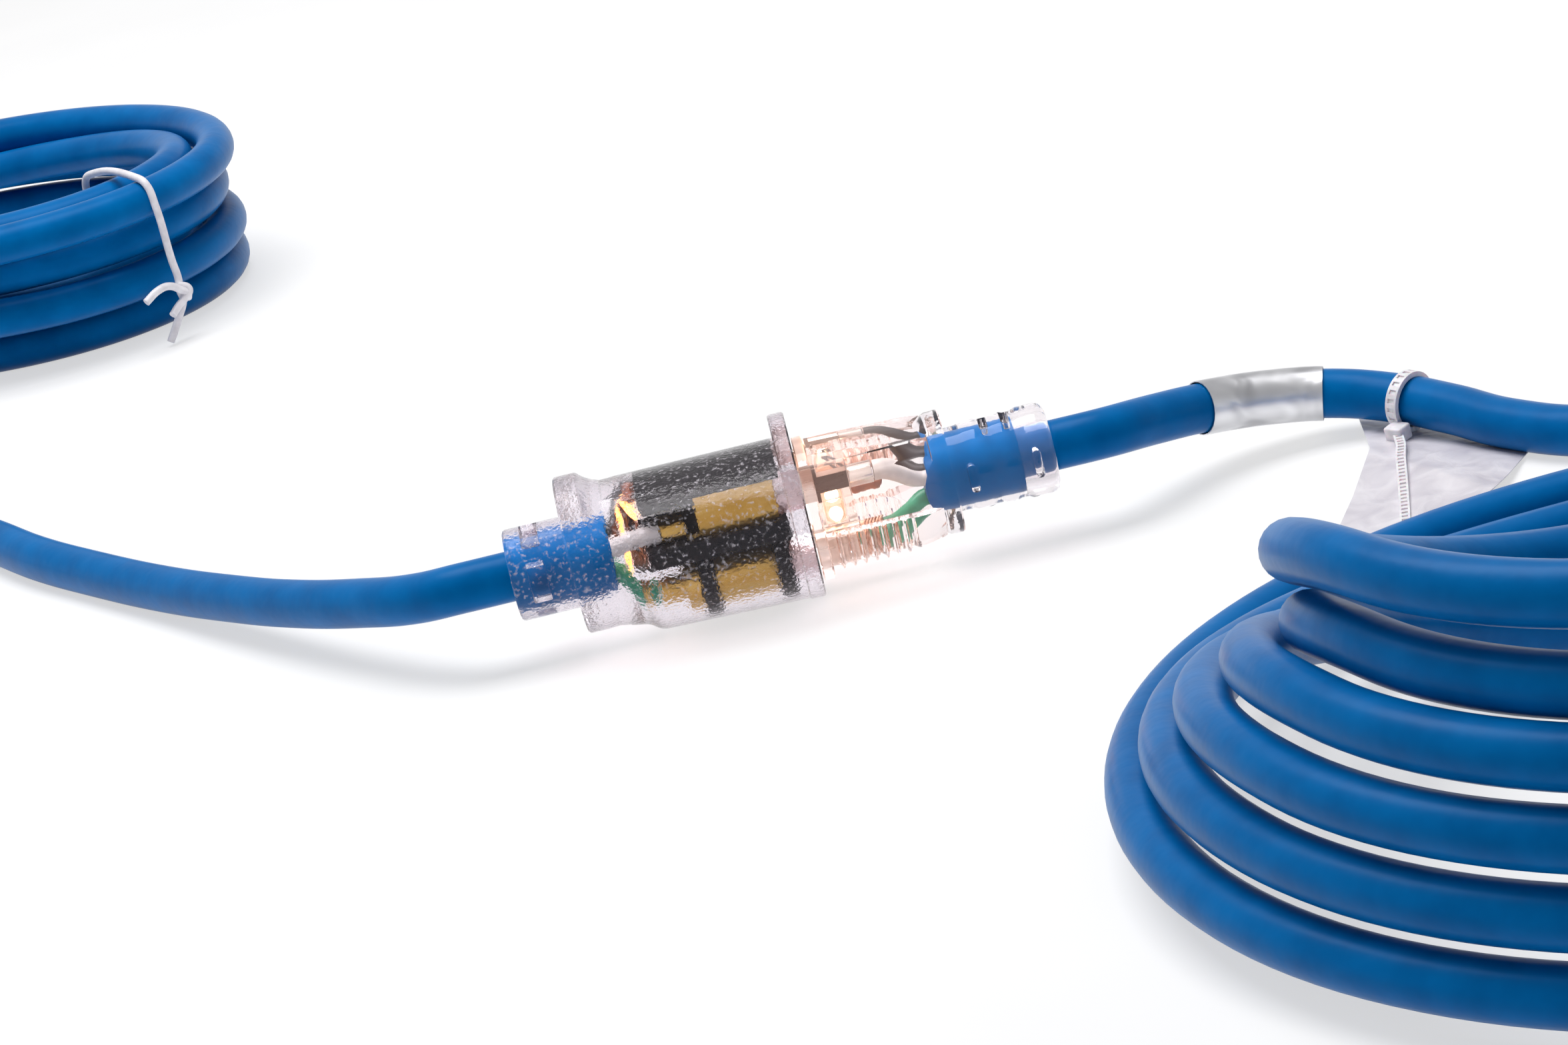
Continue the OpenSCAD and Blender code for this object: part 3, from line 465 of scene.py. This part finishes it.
def lead(body, colour, finish, *points):
    """One insulated conductor inside a moulding."""
    name = f"{body}_{colour}_lead"
    wire_through(points, name + "_wire", 1.5, body, finish, colour + "_pvc", name)


black_pvc = insulation("black_pvc_insulation", "#17171a", "#2b2b30")
white_pvc = insulation("white_pvc_insulation", "#cfccc8", "#e6e3df")
green_pvc = insulation("green_pvc_insulation", "#128a68", "#25a380")
for colour, finish, side in [("black", black_pvc, 1), ("white", white_pvc, -1)]:
    lead("connector", colour, finish, (-27, blade_y * side, 3.4), (-29.5, blade_y * side, 3.4),
         (-31.5, 6.1 * side, 3.2), (-34, 4 * side, 2), (-36, 2.5 * side, 1.35), (-37.3, 2.3 * side, 1.3))
    lead("plug", colour, finish, (13.6, blade_y * side, 5.7), (15.2, 6.3 * side, 5.6),
         (18, 5 * side, 4), (20.5, 3 * side, 2), (22, 2.35 * side, 1.4), (23.1, 2.3 * side, 1.3))
lead("connector", "green", green_pvc, (-29.2, 0, pin_z), (-31, 0, -6), (-33.5, 0, -4.3),
     (-36, 0, -2.9), (-37.3, 0, -2.7))
lead("plug", "green", green_pvc, (13.6, 0, pin_z), (15.5, 0, -6), (18.5, 0, -4.6), (21.5, 0, -3),
     (23.1, 0, -2.7))


# ---------- Pilot lamps and their resistors ----------
# A small neon lamp stands across the conductors in each moulding, in series with a resistor. Its
# glass is rounded at both ends and its gas glows round the electrodes.
def lets_light_through(tree, shader, colour):
    """A clear solid whose shadow is as light as the real one's."""
    shade = add(tree, "BsdfTransparent", {"Color": linear(colour)})
    add(tree, "MixShader", {"Fac": add(tree, "LightPath").outputs["Is Shadow Ray"],
                            1: shader.outputs[0], 2: shade.outputs[0]},
        tree.nodes["Material Output"].inputs["Surface"])


# Lamp glass, bedded in the moulding, so it bends the light only a little
lamp_glass, tree, shader = new_material("lamp_glass", IOR=1.12, Roughness=0.02, Transmission_Weight=1)
colour_by(patches(tree, 3), tree, shader, "#fff0e2", "#ffe4cf")
lets_light_through(tree, shader, "#fff4ea")


def glow(name, edge, core, strength):
    """Glowing gas and bead: hottest in the middle of the electrode."""
    made, tree, shader = new_material(name, Emission_Strength=strength, Roughness=0.5)
    heat = patches(tree, 1.2)
    for socket in ("Emission Color", "Base Color"):
        add(tree, "ValToRGB", {"Fac": heat}, shader.inputs[socket], [(0.3, edge), (0.6, core)])
    return made


orange_glow = glow("orange_neon_glow", "#ff5a1c", "#ffb060", 5)
warm_glow = glow("warm_neon_glow", "#ffc08a", "#fff3df", 9)


def lamp(body, x, z, beads, finish):
    """A lamp from height z, with its glowing beads at their heights, all in mm."""
    name, bead_r, glass_r, glass_length = body + "_lamp", 1.2, 2, 9
    bpy.ops.object.select_all(action="DESELECT")
    bpy.ops.mesh.primitive_cylinder_add(vertices=32, radius=glass_r / 1000, depth=glass_length / 1000,
                                        location=at(x, 0, z + glass_length / 2))
    glass = begin(bpy.context.object, name + "_glass")
    end_edit()
    change(glass, "BEVEL", width=0.0012, segments=4)
    dress(glass, body, lamp_glass, "lamp_glass", name)
    for i, height in enumerate(beads):
        bpy.ops.object.select_all(action="DESELECT")
        bpy.ops.mesh.primitive_uv_sphere_add(segments=24, ring_count=12, radius=bead_r / 1000,
                                             location=at(x, 0, height))
        bead = begin(bpy.context.object, f"{name}_bead_{i + 1}")
        bpy.ops.transform.resize(value=(1, 1, 1.15), center_override=at(x, 0, height))
        end_edit()
        dress(bead, body, finish, "lamp_glass")


lamp("connector", -32.1, -2.9, (4.6, 1.6, -1.4), orange_glow)
lamp("plug", 5.2, -3.2, (2.0, -1.6), warm_glow)

# The plug lamp's two leads are bare wire, darkened by the heat of the moulding
for i, points in enumerate([[(5.2, 0, 5.6), (5.6, -1.5, 6.6), (7, -4.5, 6.4), (9.2, -6.2, 6.1)],
                            [(5.2, 0, 5.6), (6.4, -0.8, 6), (8.4, -1.4, 4.6), (9.4, -0.6, 2.6)]]):
    wire_through(points, f"plug_lamp_lead_{i + 1}", 0.25, "plug", black_nylon, "black_nylon")

# Lacquered resistor body: brown, glossy, thicker at its two end caps
lacquer, tree, shader = new_material("lacquered_resistor", IOR=1.5, Roughness=0.4, Coat_Weight=0.6,
                                     Coat_Roughness=0.1)
colour_by(patches(tree, 1.5, 3), tree, shader, "#7c4433", "#a3654a")
shape = [(0, 0.55), (0.25, 1.0), (0.6, 1.12), (1.4, 1.1), (1.8, 0.9), (4.2, 0.9), (4.6, 1.1),
         (5.4, 1.12), (5.75, 1.0), (6, 0.55)]
dress(turned("plug_resistor_body", [(8.9 + x, r, 2.2) for x, r in shape], 24),
      "plug", lacquer, "resistor_body", "plug_resistor")
body = turned("connector_resistor_body", [(x - 3, r, 0) for x, r in shape], 24)
body.data.transform(Matrix.Translation(at(-31.2, 0, 7.4)) @ Matrix.Rotation(math.pi / 2, 4, "Z")
                    @ Matrix.Translation(-at(0)))
dress(body, "connector", lacquer, "resistor_body", "connector_resistor")

# ---------- Bridge of the plug ----------
# A block of natural nylon that holds blades and pin apart while the clear PVC is moulded round it.
# Natural nylon bedded in clear PVC: nearly the same index, so only its edges and a slight haze show
natural_nylon, tree, shader = new_material("natural_nylon", IOR=1.06, Roughness=0.12,
                                           Transmission_Weight=0.92)
colour_by(patches(tree, 4, 3), tree, shader, "#fbf4f0", "#fffaf7")
lets_light_through(tree, shader, "#fdf8f5")
dress(rounded_copy("blade_holder", "bridge", 0.2), "plug", natural_nylon, "natural_nylon", "blade_holder")

# ---------- Connector moulding ----------
# Clear soft PVC moulded round the carrier: a D-shaped body with a flange at its face, a waist, a rear
# rim and a windowed sleeve. The tool was blasted, so the surface is finely pebbled.
moulding = turned("connector_moulding", [
    (-2, 17, 0), (-10, 16.85, 0), (-20, 16.6, 0), (-30.2, 16.3, 0), (-31, 16.1, -0.03),
    (-31.7, 15.7, -0.08), (-32.3, 15.2, -0.15), (-32.8, 14.75, -0.25), (-33.4, 14.4, -0.35),
    (-34.2, 14.15, -0.4), (-35.2, 14.02, -0.36), (-36.4, 13.9, -0.25)], 128)
combine(moulding, turned("crown", [(-60, 26, -13), (10, 26, -13)], 512), "INTERSECT")
combine(moulding, turned("flange", [
    (-3.1, 17.3, 0.4), (-2.8, 17.6, 0.4), (-0.3, 17.6, 0.4), (0, 17.3, 0.4)], 128), "UNION")
combine(moulding, turned("rear_rim", [
    (-44.5, 14.5, 1.2), (-44.1, 14.9, 1.2), (-40.4, 14.9, 1.2), (-39.9, 14.75, 1.1), (-39.3, 14.45, 0.8),
    (-38.5, 14.15, 0.5), (-37.4, 13.95, 0.1), (-36.3, 13.85, -0.2), (-36, 13.5, -0.25)], 128), "UNION")
combine(moulding, turned("sleeve", [
    (-56, 8.2, 0), (-55.8, 8.5, 0), (-55.4, 8.7, 0), (-44, 8.7, 0), (-43, 8.6, 0)], 96), "UNION")
for low, high in [((-52.7, -3.5, 5.2), (-49.3, 3.5, 10)), ((-52.7, -3.5, -10), (-49.3, 3.5, -5.2)),
                  ((-52.7, -10, -3.5), (-49.3, -5.2, 3.5)), ((-52.7, 5.2, -3.5), (-49.3, 10, 3.5))]:
    combine(moulding, block("window", low, high, 0.25), "DIFFERENCE")
for side in (-1, 1):
    slot = block("slot", (-5, side * blade_y - 1.1, 2.2), (1, side * blade_y + 1.1, 9.2), 0.2)
    combine(moulding, slot, "DIFFERENCE")
combine(moulding, turned("pin_hole", [(-5, 2.75, pin_z), (1, 2.75, pin_z)], 48), "DIFFERENCE")


def clear_pvc(name, roughness, haze, near, far, centre, reach, painted_glow_colour, painted_glow_strength):
    """Clear moulded PVC that casts a light shadow. Lamp light is painted on it: a tinted base colour and a
    faint glow, from the centre out to reach mm."""
    made, tree, shader = new_material(name, IOR=1.5, Roughness=roughness, Transmission_Weight=1 - haze,
                                      Specular_IOR_Level=0.2, Specular_Tint=linear("#9a969a"),
                                      Emission_Strength=painted_glow_strength)
    place = add(tree, "TexCoord").outputs["Object"]
    away = add(tree, "VectorMath", {0: place, 1: centre}, operation="DISTANCE").outputs["Value"]
    away = add(tree, "MapRange", {"Value": away, "From Min": 0, "From Max": reach / 1000}).outputs[0]
    # Painted lamp light: the base colour runs from the near tint at the centre to the far colour, and the
    # painted glow fades out over the same reach
    add(tree, "ValToRGB", {"Fac": away}, shader.inputs["Base Color"], [(0, near), (1, far)])
    add(tree, "ValToRGB", {"Fac": away}, shader.inputs["Emission Color"],
        [(0, painted_glow_colour), (1, "#000000")])
    lets_light_through(tree, shader, "#efe6e8")
    return made, tree, shader


# Blasted clear PVC: milky, lilac grey, with pebbles under 1 mm across that scatter what lies behind, and
# painted lamp glow round the middle of its face: pinker there and faintly glowing peach.
frosted_pvc, tree, shader = clear_pvc("blasted_clear_pvc", 0.13, 0.03, "#efdfe0", "#ebe4ec",
                                      at(0), 14, "#f3b4a4", 0.12)
pebbles = patches(tree, 0.8)
add(tree, "Bump", {"Height": pebbles, "Distance": 0.00014}, shader.inputs["Normal"])
add(tree, "MapRange", {"Value": pebbles, "From Min": 0.55, "From Max": 0.72, "To Min": 0.985,
                       "To Max": 0.6}, shader.inputs["Transmission Weight"])
dress(moulding, "connector", frosted_pvc, "frosted_pvc", "connector_shell", sharp=30)


# ---------- Plug moulding ----------
# Clear glossy PVC moulded round the bridge: a face disc, a barrel with a flat top and sides, a rounded
# ribbed grip with a thumb pad under it, a ring, and a strain relief with slots so that it can bend.
def slice_off(piece, point, direction):
    """Cuts the piece flat at a point and takes off what lies beyond it."""
    pick(piece)
    bpy.ops.object.mode_set(mode="EDIT")
    bpy.ops.mesh.select_all(action="SELECT")
    bpy.ops.mesh.bisect(plane_co=point, plane_no=direction, use_fill=True, clear_outer=True)
    end_edit()


plug = turned("plug_moulding", [
    (2, 12.2, 0), (21, 12.2, 0), (22.4, 12.1, 0), (23.6, 11.9, 0), (24.6, 11.6, 0)], 96)
slice_off(plug, at(2.4, 0, 11.3), (1.2 / 18.6, 0, 1))
for side in (-1, 1):
    slice_off(plug, at(0, side * 9.6, 0), (0, side, 0))
change(plug, "BEVEL", width=0.0007, segments=3, limit_method="ANGLE", angle_limit=math.radians(20))
rib = [(0, 12.3), (0.35, 12.55), (0.6, 13.1), (0.75, 13.2), (0.95, 13.1), (1.2, 12.55), (1.55, 12.3)]
rib_count, first_rib, rib_spacing = 7, 3.7, 2.1
grip = [(2, 12.3, 0)]
grip += [(first_rib + rib_spacing * i + x, r, 0) for i in range(rib_count) for x, r in rib]
grip += [(18.4, 12.3, 0), (18.8, 12.55, 0)]
# The thumb pad ends in a quarter of an ellipse
pad_from, pad_length, pad_low, pad_depth = 19, 7.8, 8.3, 4.4
grip += [(pad_from + pad_length * math.sin(math.radians(a)),
          pad_low + pad_depth * math.cos(math.radians(a)), 0) for a in range(0, 91, 9)]
grip_half = turned("grip", grip, 96)
slice_off(grip_half, at(0, 0, -3), (0, 0, 1))
combine(plug, grip_half, "UNION")
combine(plug, turned("face_disc", [(0.25, 13.4, -0.85), (0.5, 13.65, -0.85), (2.2, 13.65, -0.85),
                                   (2.46, 13.4, -0.85)], 96), "UNION")
combine(plug, turned("ring", [
    (21.2, 9.4, 0), (22.5, 9.9, 0), (23.4, 10.5, 0), (24.4, 11.2, 0), (25.2, 11.6, 0), (27.6, 11.7, 0),
    (27.9, 11.45, 0)], 96), "UNION")
combine(plug, turned("strain_relief", [
    (27, 7.9, 0), (30.4, 8, 0), (31.3, 8.35, 0), (34, 8.4, 0), (34.7, 8.1, 0), (36.2, 8.1, 0),
    (36.8, 8.4, 0), (38.9, 8.4, 0), (39.6, 8.15, 0), (41, 8.2, 0), (41.8, 8.6, 0), (45.2, 8.65, 0),
    (46.2, 8.4, 0), (46.8, 7.9, 0), (47.1, 7.2, 0)], 96), "UNION")
combine(plug, turned("air_gap", [(41, 5.25, 0), (48, 5.25, 0)], 64), "DIFFERENCE")
for x in (31.4, 43.6):
    for low, high in [(-10, -5.6), (5.6, 10)]:
        combine(plug, block("slot", (x - 0.8, low, -2.7), (x + 0.8, high, 2.7), 0.7), "DIFFERENCE")
for x in (35.4, 39.5):
    for low, high in [(-10, -5.6), (5.6, 10)]:
        combine(plug, block("recess", (x - 0.8, -3.2, low), (x + 0.8, 3.2, high), 0.5), "DIFFERENCE")

# Glossy clear PVC: water clear at its far end, with painted lamp glow near the lamp: a peach base colour
# and a faint peach emission.
glossy_pvc, tree, shader = clear_pvc("glossy_clear_pvc", 0.03, 0.02, "#fdebe2", "#f7f2f5",
                                     at(5, 0, 0), 24, "#f7b9a2", 0.22)
add(tree, "Bump", {"Height": patches(tree, 3.5, 3), "Distance": 0.00006}, shader.inputs["Normal"])
dress(plug, "plug", glossy_pvc, "clear_pvc", "plug_shell", sharp=30)

# ---------- Foil label ----------
# A bare metallised label wrapped round the cord beside the plug; it overlaps itself along one edge.
label_from, label_to, foil_gap = 81.2, 106.4, 0.3
stretch = [p * 1000 for p in right_run_line if label_from < p.x * 1000 < label_to]
label = line_object("foil_wrap", stretch, cord_r + foil_gap, False)
label.data.use_fill_caps = False
label.data.bevel_resolution = 10
as_mesh(label)
bpy.ops.object.mode_set(mode="EDIT")
bpy.ops.mesh.select_all(action="SELECT")
bpy.ops.mesh.subdivide(number_cuts=1)
bpy.ops.object.mode_set(mode="OBJECT")
change(label, "SOLIDIFY", thickness=0.00018, offset=1)
# Metallised film: bright silver, creased into facets a few millimetres long
foil, tree, shader = new_material("metallised_film", Metallic=1, Roughness=0.4)
colour_by(patches(tree, 7, 1, 1), tree, shader, "#c6c6ca", "#efeff2", relief=0.35)
bpy.ops.object.shade_smooth_by_angle(angle=math.radians(40))
label.data.materials.append(foil)
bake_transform(label)
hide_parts("foil_label")

# ---------- Cable tie ----------
# A moulded nylon tie round the cord, its strap notched all along for the pawl in the head.
# White nylon: a little translucent, smooth on the rails and dull in the notches
white_nylon, tree, shader = new_material("moulded_white_nylon", IOR=1.53, Subsurface_Weight=0.3,
                                         Subsurface_Scale=0.001)
colour_by(patches(tree, 1.2, 3), tree, shader, "#dedbe0", "#f0edf0", spread=(0.35, 0.7),
          rough=(0.3, 0.45))


def strap(name, length, width, thickness, place):
    """A notched strap, made flat along X and then laid where place(along, across, up) says, all in mm."""
    notch = 0.8
    columns = 2 * round(length / notch / 2) + 1
    bpy.ops.object.select_all(action="DESELECT")
    bpy.ops.mesh.primitive_grid_add(x_subdivisions=columns, y_subdivisions=5, size=1, location=(0.5, 0, 0))
    piece = begin(bpy.context.object, name)
    bpy.ops.transform.resize(value=(length, width, 1), center_override=(0, 0, 0))
    bpy.ops.mesh.extrude_region_move(TRANSFORM_OT_translate={"value": (0, 0, -thickness)})
    end_edit()
    bpy.ops.object.mode_set(mode="EDIT")
    bpy.ops.mesh.select_mode(type="FACE")
    bpy.ops.mesh.select_all(action="DESELECT")
    bpy.ops.object.mode_set(mode="OBJECT")
    step = length / columns
    for face in piece.data.polygons:
        column = int(face.center.x / step)
        face.select = (face.normal.z > 0.9 and column % 2 == 1 and abs(face.center.y) < 0.35 * width)
    bpy.ops.object.mode_set(mode="EDIT")
    bpy.ops.mesh.extrude_region_move(TRANSFORM_OT_translate={"value": (0, 0, -0.3 * thickness)})
    end_edit()
    for vertex in piece.data.vertices:
        vertex.co = place(*vertex.co) / 1000
    bpy.ops.object.mode_set(mode="EDIT")
    end_edit()
    return piece


def along_points(points, distance):
    """The place and heading at a distance in mm along points."""
    for a, b in zip(points, points[1:]):
        step = (b - a).length
        if distance <= step or b is points[-1]:
            return a + (b - a) * distance / step, (b - a).normalized()
        distance -= step


here, there = Vector((117, 10, 7)), Vector((126, -1, 6))
tie_middle, tie_axis = here.lerp(there, 0.3), (there - here).normalized()
sideways = Vector((0, 0, 1)).cross(tie_axis).normalized()
outward = tie_axis.cross(sideways)
once_round, head_side, band_gap = 33, 2.1, 1.05


def round_the_cord(along, across, up):
    """Round the cord, from one side of the head to the other."""
    turn = 2 * math.pi * along / once_round + head_side
    return (tie_middle + tie_axis * across
            + (outward * math.cos(turn) - sideways * math.sin(turn)) * (cord_r + band_gap + up))


dress(strap("tie_band", 32.7, 2.4, 1, round_the_cord), "connector", white_nylon, "white_nylon",
      "cable_tie")
tail_points = [Vector(p) for p in [(115.4, 0, 3.2), (114.7, -6, 3.5), (113.3, -12, 3.6), (111.8, -20, 3.2),
                                   (110.2, -28, 2.6), (108.6, -36, 2.2), (106.9, -44, 1.9)]]


def down_the_tail(along, across, up):
    """From the head down to the table and forward over the tag."""
    place, heading = along_points(tail_points, along)
    return place + heading.cross(Vector((0, 0, 1))).normalized() * across + Vector((0, 0, up))


dress(strap("tie_tail", 45, 1.9, 0.9, down_the_tail), "connector", white_nylon, "white_nylon")
bpy.ops.object.select_all(action="DESELECT")
bpy.ops.mesh.primitive_cube_add(size=1, scale=(0.004, 0.0034, 0.003), location=(0.1157, 0.0015, 0.003),
                                rotation=(0.1, 0, math.atan2(tie_axis.y, tie_axis.x)))
head = begin(bpy.context.object, "tie_head")
bpy.ops.mesh.bevel(offset=0.0004, segments=3, affect="EDGES")
end_edit()
dress(head, "connector", white_nylon, "white_nylon")

# ---------- Folded tag ----------
# A strip of coated paper folded over the cord and gathered by the tie; it is left bare. Its upper flap
# lies under the cord and its lower flap comes forward under the coil.
# Coated paper: pale lilac grey, satin, with soft creases that run out from the tie
coated_paper, tree, shader = new_material("coated_paper", Roughness=0.38, IOR=1.5)
colour_by(patches(tree, 6, 4, 0.6), tree, shader, "#c8c3cb", "#e3dfe4", relief=0.5)
rows = [((112, 24, 0.2), (136, -16.5, -0.1)), ((110.5, 9, 1), (130, -28, 1.2)),
        ((109.3, -3, 2), (124.2, -38, 2.4)), ((102, -21, 0.8), (123.4, -44, 0.9)),
        ((93.5, -41, 0.4), (122.5, -49, 0.4))]
bpy.ops.object.select_all(action="DESELECT")
bpy.ops.mesh.primitive_grid_add(x_subdivisions=40, y_subdivisions=32, size=1, location=(0.5, 0.5, 0))
tag = begin(bpy.context.object, "folded_tag")
bpy.ops.object.mode_set(mode="OBJECT")
# The square grid is laid between the rows' ends; it waves more the further it is from the first row
for vertex in tag.data.vertices:
    u, v = vertex.co.x, vertex.co.y * (len(rows) - 1)
    row = min(int(v), len(rows) - 2)
    ends = [Vector(rows[row][k]).lerp(Vector(rows[row + 1][k]), v - row) for k in (0, 1)]
    waves = min(v, 1) * (0.45 * math.sin(9 * u + 1.3 * v) + 0.25 * math.sin(23 * u + v))
    vertex.co = (ends[0].lerp(ends[1], u) + Vector((0, 0, 0.15 + min(v, 1) * 0.4 + 0.5 * waves))) / 1000
change(tag, "SOLIDIFY", thickness=0.0002)
dress(tag, "connector", coated_paper, "coated_paper", "tag", sharp=50)

# ---------- Twist tie ----------
# A white plastic-coated wire bent over the left coil, twisted on itself low on the outer side.
# Coated wire: soft white plastic with a slight shine
white_wire, tree, shader = new_material("plastic_coated_wire", IOR=1.5)
colour_by(patches(tree, 2, 3), tree, shader, "#dcd8de", "#eeebf0", rough=(0.35, 0.55))
wire_r, clearance, tie_at = 0.95, 1.35, 0.65
coil_middle = Vector((*left_middle, 0))
strands = [left_coil_point(tie_at + k) - coil_middle for k in range(6)]
out = Vector((strands[0].x, strands[0].y, 0)).normalized()
left = Vector((out.y, -out.x, 0))
far = max(s.dot(out) for s in strands) + cord_r + clearance
near = min(s.dot(out) for s in strands) - cord_r - clearance
top = max(s.z for s in strands) + cord_r


def bent_wire(name, *points):
    """Wire through points: each is outward from the coil's middle, to the left and up, in mm."""
    wire = line_object(name, [coil_middle + Vector((0, 0, z)) + out * r + left * t for r, t, z in points],
                       wire_r, True)
    return as_mesh(wire)


dress(bent_wire("twist_wire", (near, 0, 1.2), (near, 0, 14), (near + 0.5, 0, top - 6),
                (near + 1.6, 0, top - 0.5), (near + 5, 0, top + 1.2), (far - 6, 0, top + 1.2),
                (far - 2, 0, top - 0.5), (far - 0.6, 0, top - 6), (far - 0.3, 0, 20), (far + 0.2, 0, 15),
                (far + 1, 1, 12.5), (far + 0.4, 0.4, 10), (far + 0.2, 3, 6), (far, 7, 1.2)),
      "connector", white_wire, "white_wire", "twist_tie")
dress(bent_wire("twist_tail_1", (far + 1.2, -0.6, 10), (far + 2.4, 0, 11.5), (far + 2.2, 1.6, 13),
                (far + 2, 4, 14.8), (far + 2.4, 8, 15.2), (far + 2, 12, 13.6)),
      "connector", white_wire, "white_wire")
dress(bent_wire("twist_tail_2", (far + 1, 1.2, 14), (far + 2.6, -0.6, 12.4), (far + 2.4, 1.2, 10.6),
                (far + 2.2, 3.4, 9.4), (far + 2.6, 6, 8)),
      "connector", white_wire, "white_wire")

# ---------- Floor, world and lamps ----------
# A plain white board under an even white sky, with one large soft lamp above and behind.
white_board, tree, shader = new_material("matt_white_board", Roughness=0.9)
colour_by(patches(tree, 40), tree, shader, "#f3f3f4", "#f7f7f8")
# What the camera, a reflection or clear plastic sees of the board is partly plain white
rays = add(tree, "LightPath").outputs
seen = add(tree, "Math", {0: rays["Is Camera Ray"], 1: rays["Is Glossy Ray"]}, operation="MAXIMUM")
seen = add(tree, "Math", {0: seen.outputs[0], 1: rays["Is Transmission Ray"]}, operation="MAXIMUM")
share = add(tree, "Math", {0: seen.outputs[0], 1: 0.6}, operation="MULTIPLY")
white = add(tree, "Emission", {"Strength": 1.0})
add(tree, "MixShader", {"Fac": share.outputs[0], 1: shader.outputs[0], 2: white.outputs[0]},
    tree.nodes["Material Output"].inputs["Surface"])
bpy.ops.object.select_all(action="DESELECT")
bpy.ops.mesh.primitive_plane_add(size=12)
floor = bpy.context.object
floor.name = "floor"
floor.data.materials.append(white_board)

world = bpy.data.worlds.new("white_sky")
bpy.context.scene.world = world
world.use_nodes = True
tree = world.node_tree
# Reflections show the white backdrop low down and a darker room above it
height = add(tree, "SeparateXYZ", {"Vector": add(tree, "TexCoord").outputs["Generated"]}).outputs["Z"]
backdrop = add(tree, "MapRange", {"Value": height, "From Min": 0.1, "From Max": 0.35, "To Min": 1,
                                  "To Max": 0.15})
rays = add(tree, "LightPath").outputs
seen = add(tree, "Math", {0: rays["Is Glossy Ray"], 1: backdrop.outputs[0]}, operation="MULTIPLY")
for ray in ("Is Camera Ray", "Is Transmission Ray"):
    seen = add(tree, "Math", {0: seen.outputs[0], 1: rays[ray]}, operation="MAXIMUM")
add(tree, "MapRange", {"Value": seen.outputs[0], "To Min": 0.32, "To Max": 1.0},
    tree.nodes["Background"].inputs["Strength"])
tree.nodes["Background"].inputs["Color"].default_value = (1, 1, 1, 1)
bpy.ops.object.light_add(type="AREA", location=(-0.15, 0.25, 1.1), rotation=(-0.2, -0.12, 0))
softbox = bpy.context.object
softbox.name = "softbox"
softbox.data.shape, softbox.data.size, softbox.data.size_y = "RECTANGLE", 0.9, 0.6
softbox.data.energy = 14

bpy.context.scene.view_settings.view_transform = "Standard"
